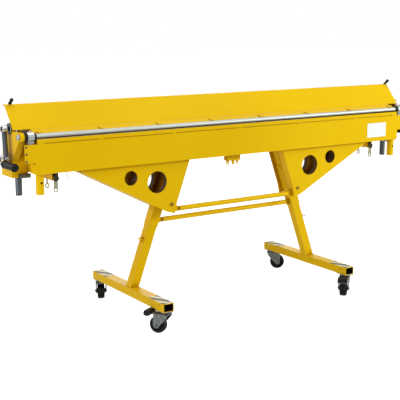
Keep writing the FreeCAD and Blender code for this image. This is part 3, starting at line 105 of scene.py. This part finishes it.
# Each softbox has a place, the point it faces, a width and height, a power in watts and a colour.
SOFTBOXES = {
    "key": ((3.0, -3.0, 2.0), (0.9, 0.0, 0.75), (1.5, 1.2), 108, GREENISH),
    "top": ((0.0, -0.3, 3.8), (0.0, -0.3, 0.0), (4.6, 3.2), 66, PALE_GREEN),
    "side": ((-2.3, -0.75, 1.35), (-1.14, -0.05, 0.88), (0.5, 0.5), 8, WHITE),
    "low": ((-2.9, -0.25, 0.22), (-0.58, -0.1, 0.13), (0.9, 0.3), 10, WHITE),
    "back": ((0.6, 4.6, 1.3), (0.0, 0.0, 0.4), (7.0, 2.4), 70, WHITE),
}
SURROUND_SEEN = 1.0
SURROUND_REFLECTED = 0.75
SURROUND_LIGHT = 0.26

FLOOR_REACH = 30
FLOOR_TONE = (0.80, 0.80, 0.80, 1)
FLOOR_ROUGHNESS = 0.9
FLOOR_GLOW = 0.82


def add_softbox(name, place, target, size, power, colour):
    data = bpy.data.lights.new(name, "AREA")
    data.shape = "RECTANGLE"
    data.size, data.size_y = size
    data.energy = power
    data.color = colour
    light = bpy.data.objects.new(name, data)
    light.location = place
    light.visible_camera = False
    light.rotation_euler = (Vector(target) - Vector(place)).to_track_quat("-Z", "Y").to_euler()
    scene.collection.objects.link(light)


def for_rays(tree, kind, shader, otherwise):
    """One shader for a kind of ray, such as the camera's, and another for all the rest."""
    share = tree.nodes.new("ShaderNodeMixShader")
    tree.links.new(tree.nodes.new("ShaderNodeLightPath").outputs[kind], share.inputs["Fac"])
    tree.links.new(otherwise, share.inputs[1])
    tree.links.new(shader, share.inputs[2])
    return share.outputs["Shader"]


def background(tree, colour, strength):
    node = tree.nodes.new("ShaderNodeBackground")
    node.inputs["Color"].default_value = colour + (1,)
    node.inputs["Strength"].default_value = strength
    return node.outputs["Background"]


def add_surround():
    """A white surround: plain to the camera, bright in reflections, and weaker as light."""
    world = bpy.data.worlds.new("studio")
    world.use_nodes = True
    tree = world.node_tree
    tree.nodes.clear()
    seen = background(tree, WHITE, SURROUND_SEEN)
    reflected = background(tree, WHITE, SURROUND_REFLECTED)
    light = background(tree, WARM, SURROUND_LIGHT)
    surround = for_rays(tree, "Is Camera Ray", seen, for_rays(tree, "Is Glossy Ray", reflected, light))
    tree.links.new(surround, tree.nodes.new("ShaderNodeOutputWorld").inputs["Surface"])
    scene.world = world


def add_light():
    add_surround()
    for name, softbox in SOFTBOXES.items():
        add_softbox(name, *softbox)
    scene.view_settings.view_transform = "Standard"
    scene.view_settings.look = "None"


def add_floor():
    """A plain floor that the camera sees as white, and that lights the machine as pale card does."""
    mesh = bpy.data.meshes.new("floor")
    corners = [(x * FLOOR_REACH, y * FLOOR_REACH, 0) for x, y in ((-1, -1), (1, -1), (1, 1), (-1, 1))]
    mesh.from_pydata(corners, [], [(0, 1, 2, 3)])
    floor = bpy.data.objects.new("floor", mesh)
    scene.collection.objects.link(floor)
    paint = bpy.data.materials.new("floor_paint")
    paint.use_nodes = True
    tree = paint.node_tree
    shader = tree.nodes["Principled BSDF"]
    shader.inputs["Base Color"].default_value = FLOOR_TONE
    shader.inputs["Roughness"].default_value = FLOOR_ROUGHNESS
    glow = tree.nodes.new("ShaderNodeEmission")
    glow.inputs["Strength"].default_value = FLOOR_GLOW
    both = tree.nodes.new("ShaderNodeAddShader")
    tree.links.new(shader.outputs["BSDF"], both.inputs[0])
    tree.links.new(glow.outputs["Emission"], both.inputs[1])
    surface = for_rays(tree, "Is Camera Ray", both.outputs["Shader"], shader.outputs["BSDF"])
    tree.links.new(surface, tree.nodes["Material Output"].inputs["Surface"])
    mesh.materials.append(paint)


# Materials

# Colours are linear, and a pair holds the darker and the lighter tone of one surface.
PAINT_TONES = ((0.83, 0.495, 0.002), (0.89, 0.54, 0.003))
# Painted shade: dark brown for the paint in corners and under flanges.
PAINT_SHADE = (0.30, 0.10, 0.002)
PAINT_DUST = (0.66, 0.42, 0.05)
PAINT_CHIP = (0.20, 0.17, 0.12)
PAINT_SHEEN = (1.0, 0.72, 0.12, 1)
# Painted shade: dark brown for the hole walls and the rear plates behind the holes.
HOLE_SHADE_TONES = ((0.075, 0.032, 0.008), (0.16, 0.068, 0.012))
# Painted shade: near-black for the inside of the foot tubes.
TUBE_SHADE_TONES = ((0.010, 0.008, 0.006), (0.030, 0.020, 0.012))
ENAMEL_TONES = ((0.062, 0.075, 0.092), (0.100, 0.116, 0.135))
BOLT_TONES = ((0.020, 0.018, 0.016), (0.05, 0.045, 0.04))
RUBBER_TONES = ((0.003, 0.003, 0.0035), (0.008, 0.008, 0.009))
RUBBER_EDGE = (0.020, 0.020, 0.019)
TAPE_CREAM = ((0.66, 0.58, 0.34), (0.84, 0.78, 0.55))
TAPE_DARK = ((0.045, 0.035, 0.025), (0.11, 0.085, 0.06))
LABEL_TONES = ((0.88, 0.89, 0.92), (0.94, 0.95, 0.98))
LABEL_EDGE = (0.62, 0.60, 0.54)
# Painted shade: near-black for metal where other surfaces are near.
METAL_SHADE = (0.05, 0.05, 0.05)

STRIPE_SLOPE = 1.6
STRIPE_PITCH = 0.100
STRIPE_BLUR = 0.0006

# The Mix node's sockets for colours, whose names it repeats for other kinds of value.
MIX_INPUTS = (6, 7)
MIX_OUTPUT = 2

EVEN = (1, 1, 1)
ALONG_X = (0.04, 1, 1)
ALONG_Z = (1, 1, 0.15)

# Each metal has its tones, the least and most of its roughness, and the way its grain is drawn out.
METALS = {
    "bright_steel": (((0.40, 0.41, 0.41), (0.54, 0.54, 0.53)), (0.50, 0.64), ALONG_X),
    "chrome_plate": (((0.50, 0.52, 0.54), (0.66, 0.67, 0.68)), (0.20, 0.34), EVEN),
    "zinc": (((0.11, 0.12, 0.13), (0.26, 0.28, 0.29)), (0.26, 0.44), EVEN),
    "passivated": (((0.34, 0.30, 0.20), (0.55, 0.50, 0.36)), (0.30, 0.46), EVEN),
}


class Surface:
    """A material and short names for the shader nodes that it is made of."""

    def __init__(self, name):
        self.material = bpy.data.materials.new(name)
        self.material.use_nodes = True
        self.tree = self.material.node_tree
        self.shader = self.tree.nodes["Principled BSDF"]
        self.place = self.tree.nodes.new("ShaderNodeTexCoord").outputs["Object"]

    def noise(self, scale, detail=3.0, coarseness=0.5, stretch=None):
        """A grain of so many grains in a metre, drawn out where stretch is under 1."""
        node = self.tree.nodes.new("ShaderNodeTexNoise")
        node.inputs["Scale"].default_value = scale
        node.inputs["Detail"].default_value = detail
        node.inputs["Roughness"].default_value = coarseness
        source = self.place
        if stretch is not None:
            mapping = self.tree.nodes.new("ShaderNodeMapping")
            mapping.inputs["Scale"].default_value = stretch
            self.tree.links.new(self.place, mapping.inputs["Vector"])
            source = mapping.outputs["Vector"]
        self.tree.links.new(source, node.inputs["Vector"])
        return node.outputs["Fac"]

    def mottle(self, grain, tones, margin=0.3):
        """The two tones, mixed as the grain goes, with each pure for a margin at its end."""
        node = self.tree.nodes.new("ShaderNodeValToRGB")
        for element, at, tone in zip(node.color_ramp.elements, (margin, 1 - margin), tones):
            element.position = at
            element.color = tone + (1,)
        self.tree.links.new(grain, node.inputs["Fac"])
        return node.outputs["Color"]

    def map_range(self, value, **limits):
        node = self.tree.nodes.new("ShaderNodeMapRange")
        for name, limit in limits.items():
            node.inputs[name.replace("_", " ")].default_value = limit
        self.tree.links.new(value, node.inputs["Value"])
        return node.outputs["Result"]

    def span(self, value, low, high):
        """A value between 0 and 1, moved to lie between low and high."""
        return self.map_range(value, To_Min=low, To_Max=high)

    def step(self, value, low, high):
        """0 below low and 1 above high."""
        return self.map_range(value, From_Min=low, From_Max=high)

    def work_out(self, operation, *values):
        """The result of a sum on values, each a number or another node's output."""
        node = self.tree.nodes.new("ShaderNodeMath")
        node.operation = operation
        for value, socket in zip(values, node.inputs):
            self.fill(socket, value)
        return node.outputs["Value"]

    def mix(self, share, first, second):
        """A blend of two colours, each a tuple or another node's output."""
        node = self.tree.nodes.new("ShaderNodeMix")
        node.data_type = "RGBA"
        self.tree.links.new(share, node.inputs["Factor"])
        for index, colour in zip(MIX_INPUTS, (first, second)):
            self.fill(node.inputs[index], colour)
        return node.outputs[MIX_OUTPUT]

    def fill(self, socket, value):
        """Put a number, a colour or another node's output into a socket."""
        if isinstance(value, tuple):
            socket.default_value = value + (1,)
        elif isinstance(value, float):
            socket.default_value = value
        else:
            self.tree.links.new(value, socket)

    def painted_shade_mask(self, reach):
        """Nearness of other surfaces: 1 in the open, lower in corners and under flanges, where it sets
        painted shade.
        """
        node = self.tree.nodes.new("ShaderNodeAmbientOcclusion")
        node.samples = 6
        node.inputs["Distance"].default_value = reach
        return node.outputs["AO"]

    def worn(self, grain):
        """Where a rounded edge and a grain meet."""
        edge = self.tree.nodes.new("ShaderNodeAttribute")
        edge.attribute_name = "edge"
        return self.work_out("MULTIPLY", edge.outputs["Fac"], grain)

    def bump(self, height, strength, distance):
        node = self.tree.nodes.new("ShaderNodeBump")
        node.inputs["Strength"].default_value = strength
        node.inputs["Distance"].default_value = distance
        self.tree.links.new(height, node.inputs["Height"])
        self.tree.links.new(node.outputs["Normal"], self.shader.inputs["Normal"])

    def drive(self, socket, value):
        self.tree.links.new(value, self.shader.inputs[socket])

    def fix(self, **values):
        for name, value in values.items():
            self.shader.inputs[name.replace("_", " ")].default_value = value


def yellow_paint():
    """Powder coat: a slow drift of tone, painted brown shade in corners and under flanges, faint dust,
    rubbed edges and orange peel.
    """
    paint = Surface("yellow_paint")
    tone = paint.mottle(paint.noise(scale=1.6, detail=2.0), PAINT_TONES)
    in_the_open = paint.step(paint.painted_shade_mask(reach=0.06), low=0.25, high=0.85)
    # Painted shade: the paint turns dark brown where other surfaces are near.
    with_painted_shade = paint.mix(in_the_open, PAINT_SHADE, tone)
    dust = paint.span(paint.noise(scale=38.0, detail=6.0, coarseness=0.65), low=-0.05, high=0.08)
    dusty = paint.mix(dust, with_painted_shade, PAINT_DUST)
    chips = paint.step(paint.noise(scale=140.0, detail=5.0, coarseness=0.7), low=0.58, high=0.64)
    paint.drive("Base Color", paint.mix(paint.worn(chips), dusty, PAINT_CHIP))
    paint.drive("Roughness", paint.span(paint.noise(scale=60.0, detail=4.0), low=0.24, high=0.40))
    paint.bump(paint.noise(scale=420.0, detail=2.0), strength=0.10, distance=0.0004)
    paint.fix(Specular_IOR_Level=0.14, Specular_Tint=PAINT_SHEEN)
    return paint.material


def brushed(name, tones, rough, stretch):
    """Bare or plated metal with a fine grain, with painted shade where other surfaces are near."""
    metal = Surface(name)
    grain = metal.noise(scale=90.0, detail=5.0, coarseness=0.6, stretch=stretch)
    in_the_open = metal.step(metal.painted_shade_mask(reach=0.02), low=0.2, high=0.8)
    tone = metal.mottle(grain, tones, margin=0.25)
    # Painted shade: the metal turns dark where other surfaces are near.
    metal.drive("Base Color", metal.mix(in_the_open, METAL_SHADE, tone))
    metal.drive("Roughness", metal.span(grain, *rough))
    metal.bump(grain, strength=0.08, distance=0.0003)
    metal.fix(Metallic=1.0)
    return metal.material


def black_rubber(name):
    """Moulded black rubber or plastic, a little greyer along its edges."""
    rubber = Surface(name)
    grain = rubber.noise(scale=260.0, detail=4.0)
    tone = rubber.mottle(grain, RUBBER_TONES)
    rubber.drive("Base Color", rubber.mix(rubber.worn(rubber.noise(scale=40.0)), tone, RUBBER_EDGE))
    rubber.drive("Roughness", rubber.span(grain, low=0.36, high=0.56))
    rubber.bump(grain, strength=0.2, distance=0.0005)
    rubber.fix(Specular_IOR_Level=0.2)
    return rubber.material


def plain_coat(name, tones, rough, grain, **fixed):
    """A surface whose tone and gloss drift with one grain."""
    coat = Surface(name)
    drift = coat.noise(**grain)
    coat.drive("Base Color", coat.mottle(drift, tones))
    coat.drive("Roughness", coat.span(drift, *rough))
    coat.fix(**fixed)
    return coat.material


def dark_tube():
    """Dark grey enamel of the spring housings, lever tubes and ear screws."""
    grain = {"scale": 70.0, "detail": 4.0, "coarseness": 0.6, "stretch": ALONG_Z}
    return plain_coat("dark_tube", ENAMEL_TONES, (0.32, 0.48), grain, Metallic=0.55)


def painted_hole_shade():
    """Painted shade: dark brown on the walls of the holes through the gussets and on the rear plates
    behind them.
    """
    grain = {"scale": 60.0, "detail": 4.0}
    return plain_coat("painted_hole_shade", HOLE_SHADE_TONES, (0.45, 0.65), grain, Specular_IOR_Level=0.2)


def painted_tube_shade():
    """Painted shade: near-black inside the tubes of the feet."""
    grain = {"scale": 90.0, "detail": 5.0, "coarseness": 0.7}
    return plain_coat("painted_tube_shade", TUBE_SHADE_TONES, (0.6, 0.8), grain, Specular_IOR_Level=0.1)


def dark_bolt_and_shade():
    """Blackened steel of the bolt heads and the link pins, whose dark tone the clamp shaft and its
    cranks also take as painted shade under the clamping beam.
    """
    grain = {"scale": 180.0, "detail": 4.0}
    return plain_coat("dark_bolt_and_shade", BOLT_TONES, (0.35, 0.55), grain, Metallic=0.6)


def hazard_tape():
    """Cream tape with dark slanting stripes, both mottled by wear."""
    tape = Surface("hazard_tape")
    split = tape.tree.nodes.new("ShaderNodeSeparateXYZ")
    tape.tree.links.new(tape.place, split.inputs["Vector"])
    slant = tape.work_out("MULTIPLY_ADD", split.outputs["X"], STRIPE_SLOPE, split.outputs["Y"])
    wave = tape.work_out("PINGPONG", slant, STRIPE_PITCH / 2)
    stripe = tape.step(wave, STRIPE_PITCH / 4 - STRIPE_BLUR, STRIPE_PITCH / 4 + STRIPE_BLUR)
    cream = tape.mottle(tape.noise(scale=30.0, detail=5.0), TAPE_CREAM)
    dark = tape.mottle(tape.noise(scale=45.0, detail=5.0), TAPE_DARK)
    tape.drive("Base Color", tape.mix(stripe, dark, cream))
    tape.drive("Roughness", tape.span(tape.noise(scale=80.0), low=0.35, high=0.6))
    return tape.material


def white_label():
    """Film, left blank, with a faint mottle and slightly browned edges."""
    film = Surface("white_label")
    grain = film.noise(scale=120.0, detail=4.0)
    tone = film.mottle(grain, LABEL_TONES)
    film.drive("Base Color", film.mix(film.worn(film.noise(scale=25.0)), tone, LABEL_EDGE))
    film.drive("Roughness", film.span(grain, low=0.22, high=0.34))
    return film.material


def make_materials():
    made = {name: brushed(name, *look) for name, look in METALS.items()}
    made.update({name: black_rubber(name) for name in ("black_rubber", "black_plastic")})
    for make in (yellow_paint, painted_hole_shade, painted_tube_shade, dark_tube, dark_bolt_and_shade, hazard_tape, white_label):
        made[make.__name__] = make()
    return made


MATERIALS = make_materials()


# Places that the pieces share

GUSSET_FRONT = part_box("gusset_left")[0].y
REAR_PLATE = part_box("gusset_backs")[0].y
APRON_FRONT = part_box("apron_plate")[0].y
TABLE_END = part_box("bed_table")[1].x
TABLE_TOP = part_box("bed_table")[1].z
BEAM_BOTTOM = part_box("clamp_box")[0].z

shaft_low, shaft_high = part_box("clamp_shaft")
SHAFT_Y = (shaft_low.y + shaft_high.y) / 2
SHAFT_Z = (shaft_low.z + shaft_high.z) / 2
SHAFT_RADIUS = (shaft_high.y - shaft_low.y) / 2

plates_low, plates_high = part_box("castor_plates_right")
FOOT_X = (plates_low.x + plates_high.x) / 2
FOOT_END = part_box("foot_right")[1].y
FOOT_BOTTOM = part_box("foot_right")[0].z
FOOT_HEIGHT = 0.040
FOOT_TOP = FOOT_BOTTOM + FOOT_HEIGHT
CASTOR_Y = 0.306


# CAD nodes with softened edges

ROUNDING = 0.0010
SHARP = math.radians(28)
CREASE = math.radians(50)
SAME_POINT = 2e-6
SAME_PLANE = math.radians(0.5)

# The radius of each hole through the gussets and the x and z of its middle, front plates first.
HOLES = (
    (0.052, 0.466, 0.664),
    (0.034, 0.6065, 0.696),
    (0.058, 0.480, 0.664),
    (0.034, 0.6205, 0.696),
)
HOLE_SLACK = 0.0006
SURFACE_SLACK = 0.0005
FACING_Y = 0.3
FACING_DOWN = -0.6
LINK_PIN_FRONT = -0.0455
LINKS_OUTSIDE = 0.5
TUBE_INSIDE_HALF = (0.0247, 0.0172)
PEDAL_PAD_START = 0.0605


def round_edges(work, width):
    """Round off the sharp edges and mark the new faces, which the paint wears on."""
    mark = work.faces.layers.float.new("edge")
    sharp = [edge for edge in work.edges
             if len(edge.link_faces) == 2 and edge.calc_face_angle(0) > SHARP]
    made = bmesh.ops.bevel(work, geom=sharp, offset=width, offset_type="OFFSET",
                           segments=2, profile=0.5, affect="EDGES", clamp_overlap=True)
    for face in made["faces"]:
        face[mark] = 1.0
    for edge in work.edges:
        edge.smooth = len(edge.link_faces) != 2 or edge.calc_face_angle(0) < CREASE


def finish_mesh(piece, body):
    """Put a piece into the scene with its body, smooth up to its real corners."""
    scene.collection.objects.link(piece)
    for face in piece.data.polygons:
        face.use_smooth = True
    normals = piece.modifiers.new("normals", "WEIGHTED_NORMAL")
    normals.keep_sharp = True
    normals.weight = 100
    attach(piece, body)


def faces_axis(face, x, z):
    """Whether a face looks towards the line from front to back through x and z, on its own side."""
    centre = face.calc_center_median()
    away = Vector((centre.x - math.copysign(x, centre.x), 0, centre.z - z))
    return face.normal.dot(away) < 0


def bolt_head(face):
    """The bolt heads on the fronts of the gussets."""
    return face.calc_center_median().y < GUSSET_FRONT + SURFACE_SLACK


def pin_head(face):
    """The heads of the pins that the links hang from."""
    centre = face.calc_center_median()
    return centre.y < LINK_PIN_FRONT and abs(centre.x) > LINKS_OUTSIDE


def hole_wall(face):
    """The walls of the holes through the gussets, and what shows of the rear plates through them."""
    centre = face.calc_center_median()
    if abs(face.normal.y) > FACING_Y:
        return abs(centre.y - REAR_PLATE) < SURFACE_SLACK
    return any(abs(math.hypot(abs(centre.x) - x, centre.z - z) - radius) < HOLE_SLACK
               and faces_axis(face, x, z) for radius, x, z in HOLES)


def tube_inside(face):
    """The inside of a foot's square tube, seen at its open ends, which gets painted shade."""
    centre = face.calc_center_median()
    middle = FOOT_BOTTOM + FOOT_HEIGHT / 2
    half_wide, half_high = TUBE_INSIDE_HALF
    within = abs(abs(centre.x) - FOOT_X) < half_wide and abs(centre.z - middle) < half_high
    return within and abs(face.normal.y) < FACING_Y and faces_axis(face, FOOT_X, middle)


def pedal_metal(face):
    """The pressed arm of a brake pedal, which shows between the fork and the pad and under the pad."""
    centre = face.calc_center_median()
    from_kingpin = math.hypot(abs(centre.x) - FOOT_X, abs(centre.y) - CASTOR_Y)
    return from_kingpin < PEDAL_PAD_START or face.normal.z < FACING_DOWN


# The material of whole nodes, where it isn't their slot's, by the start of a node's name.
FINISH_OF = {
    "castor_fork_": "zinc",
    "castor_plates_": "zinc",
    "spring_clamps": "zinc",
    "shaft_bearings": "zinc",
    # Painted shade: the clamp shaft and its cranks take a dark tone under the clamping beam.
    "clamp_shaft": "dark_bolt_and_shade",
    "clamp_cranks": "dark_bolt_and_shade",
    "link_": "passivated",
    "eye_rings": "passivated",
}

# The material of the faces that a test picks out.
PARTLY = {
    "frame_bolts": (bolt_head, "dark_bolt_and_shade"),
    "underside_brackets": (pin_head, "dark_bolt_and_shade"),
    # Painted shade on the hole walls and on the rear plates behind them.
    "gusset_": (hole_wall, "painted_hole_shade"),
    # Painted shade inside the foot tubes.
    "foot_": (tube_inside, "painted_tube_shade"),
    "brake_pedal_": (pedal_metal, "zinc"),
}


def named(table, node):
    """The row of a table whose key begins a node's name."""
    return next((row for start, row in table.items() if node.startswith(start)), None)


def soften(node):
    """A copy of a CAD node with its sharp edges rounded off, which stands for the node."""
    mesh = NODES[node].data.copy()
    mesh.name = node + "_dressed"
    mesh.materials.clear()
    mesh.materials.append(MATERIALS[named(FINISH_OF, node) or SLOT_OF[node]])
    work = bmesh.new()
    work.from_mesh(mesh)
    bmesh.ops.remove_doubles(work, verts=work.verts, dist=SAME_POINT)
    bmesh.ops.dissolve_limit(work, angle_limit=SAME_PLANE, verts=work.verts, edges=work.edges)
    part = named(PARTLY, node)
    if part:
        mesh.materials.append(MATERIALS[part[1]])
    for face in work.faces:
        face.material_index = int(bool(part) and part[0](face))
    round_edges(work, ROUNDING)
    work.to_mesh(mesh)
    work.free()
    piece = bpy.data.objects.new(node + "_dressed", mesh)
    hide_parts(node)
    finish_mesh(piece, BODY_OF[node])


def dress_nodes():
    """Soften every node but the springs, which keep their own mesh."""
    for node in sorted(NODES):
        if node == "lift_springs":
            mesh = NODES[node].data
            mesh.materials.clear()
            mesh.materials.append(MATERIALS["bright_steel"])
        else:
            soften(node)


# Thin plates that the CAD model leaves to the scene

LABEL_X = 0.922
LABEL_Z = 0.819
LABEL_HALF = (0.069, 0.0385)
LABEL_CORNER = 0.003
LABEL_THICKNESS = 0.0006
LABEL_ROUNDING = 0.0002

TAPE_HALF = (0.0265, 0.067)
TAPE_CORNER = 0.001
TAPE_THICKNESS = 0.0004
TAPE_ROUNDING = 0.0001
TAPE_MARGIN = 0.002
TAPE_Y = FOOT_END - TAPE_MARGIN - TAPE_HALF[1]

GUARD_INSIDE = TABLE_END + 0.0012
GUARD_THICKNESS = 0.0032
GUARD_ROUNDING = 0.0005
GUARD_FRONT = -0.050
GUARD_FRONT_TOP = 0.941
GUARD_SLOPE_END = -0.0195
GUARD_BACK = 0.076
GUARD_BOTTOM = TABLE_TOP + 0.0013
GUARD_TOP = BEAM_BOTTOM - 0.0015
GUARD_HOLE = SHAFT_RADIUS + 0.0015
GUARD_HOLE_STEPS = 24


def add_outline(work, outline, hole):
    """One flat face, or several round a hole."""
    if hole is None:
        work.faces.new([work.verts.new(corner) for corner in outline])
        return
    rings = []
    for corners in (outline, hole):
        ring = [work.verts.new(corner) for corner in corners]
        rings += [work.edges.new((ring[index - 1], ring[index])) for index in range(len(ring))]
    bmesh.ops.triangle_fill(work, edges=rings, use_beauty=True, use_dissolve=False)


def plate(name, outline, push, material, body, width, hole=None, place=(0, 0, 0)):
    """A flat plate, from its outline, its thickness as a vector and the width of its rounded edges."""
    work = bmesh.new()
    add_outline(work, outline, hole)
    made = bmesh.ops.extrude_face_region(work, geom=list(work.faces))
    pushed = [item for item in made["geom"] if isinstance(item, bmesh.types.BMVert)]
    bmesh.ops.translate(work, verts=pushed, vec=push)
    bmesh.ops.recalc_face_normals(work, faces=work.faces)
    if hole is not None:
        bmesh.ops.dissolve_limit(work, angle_limit=SAME_PLANE, verts=work.verts, edges=work.edges)
    round_edges(work, width)
    mesh = bpy.data.meshes.new(name)
    work.to_mesh(mesh)
    work.free()
    mesh.materials.append(MATERIALS[material])
    piece = bpy.data.objects.new(name, mesh)
    piece.location = place
    finish_mesh(piece, body)


def rounded(half_wide, half_high, corner, steps=5):
    """The outline of a rectangle with round corners, as pairs."""
    points = []
    for index, (across, along) in enumerate(((1, 1), (-1, 1), (-1, -1), (1, -1))):
        for step in range(steps + 1):
            angle = math.radians(90 * (index + step / steps))
            points.append((across * (half_wide - corner) + corner * math.cos(angle),
                           along * (half_high - corner) + corner * math.sin(angle)))
    return points


def make_label():
    """The blank plate near the right end of the apron's front."""
    outline = [(LABEL_X + x, APRON_FRONT, LABEL_Z + z) for x, z in rounded(*LABEL_HALF, LABEL_CORNER)]
    plate("label_plate", outline, (0, -LABEL_THICKNESS, 0), "white_label", "apron", LABEL_ROUNDING)


def make_tapes():
    """Striped tape on the top of each foot, at both ends."""
    outline = [(x, y, 0) for x, y in rounded(*TAPE_HALF, TAPE_CORNER)]
    for side, sign in (("left", -1), ("right", 1)):
        for end, toward in (("front", -1), ("back", 1)):
            plate("hazard_tape_%s_%s" % (end, side), outline, (0, 0, TAPE_THICKNESS), "hazard_tape",
                  "foot_" + side, TAPE_ROUNDING, place=(sign * FOOT_X, toward * TAPE_Y, FOOT_TOP))


def make_shaft_guards():
    """A painted plate at each end of the table, with a hole for the clamp shaft."""
    outline = ((GUARD_FRONT, GUARD_BOTTOM), (GUARD_BACK, GUARD_BOTTOM), (GUARD_BACK, GUARD_TOP),
               (GUARD_SLOPE_END, GUARD_TOP), (GUARD_FRONT, GUARD_FRONT_TOP))
    turns = [math.tau * index / GUARD_HOLE_STEPS for index in range(GUARD_HOLE_STEPS)]
    hole = [(SHAFT_Y + GUARD_HOLE * math.cos(turn), SHAFT_Z + GUARD_HOLE * math.sin(turn))
            for turn in turns]
    for side, sign in (("left", -1), ("right", 1)):
        plate("shaft_guard_" + side, [(sign * GUARD_INSIDE, y, z) for y, z in outline],
              (sign * GUARD_THICKNESS, 0, 0), "yellow_paint", "root", GUARD_ROUNDING,
              hole=[(sign * GUARD_INSIDE, y, z) for y, z in hole])


add_camera()
add_light()
add_floor()
dress_nodes()
make_label()
make_tapes()
make_shaft_guards()
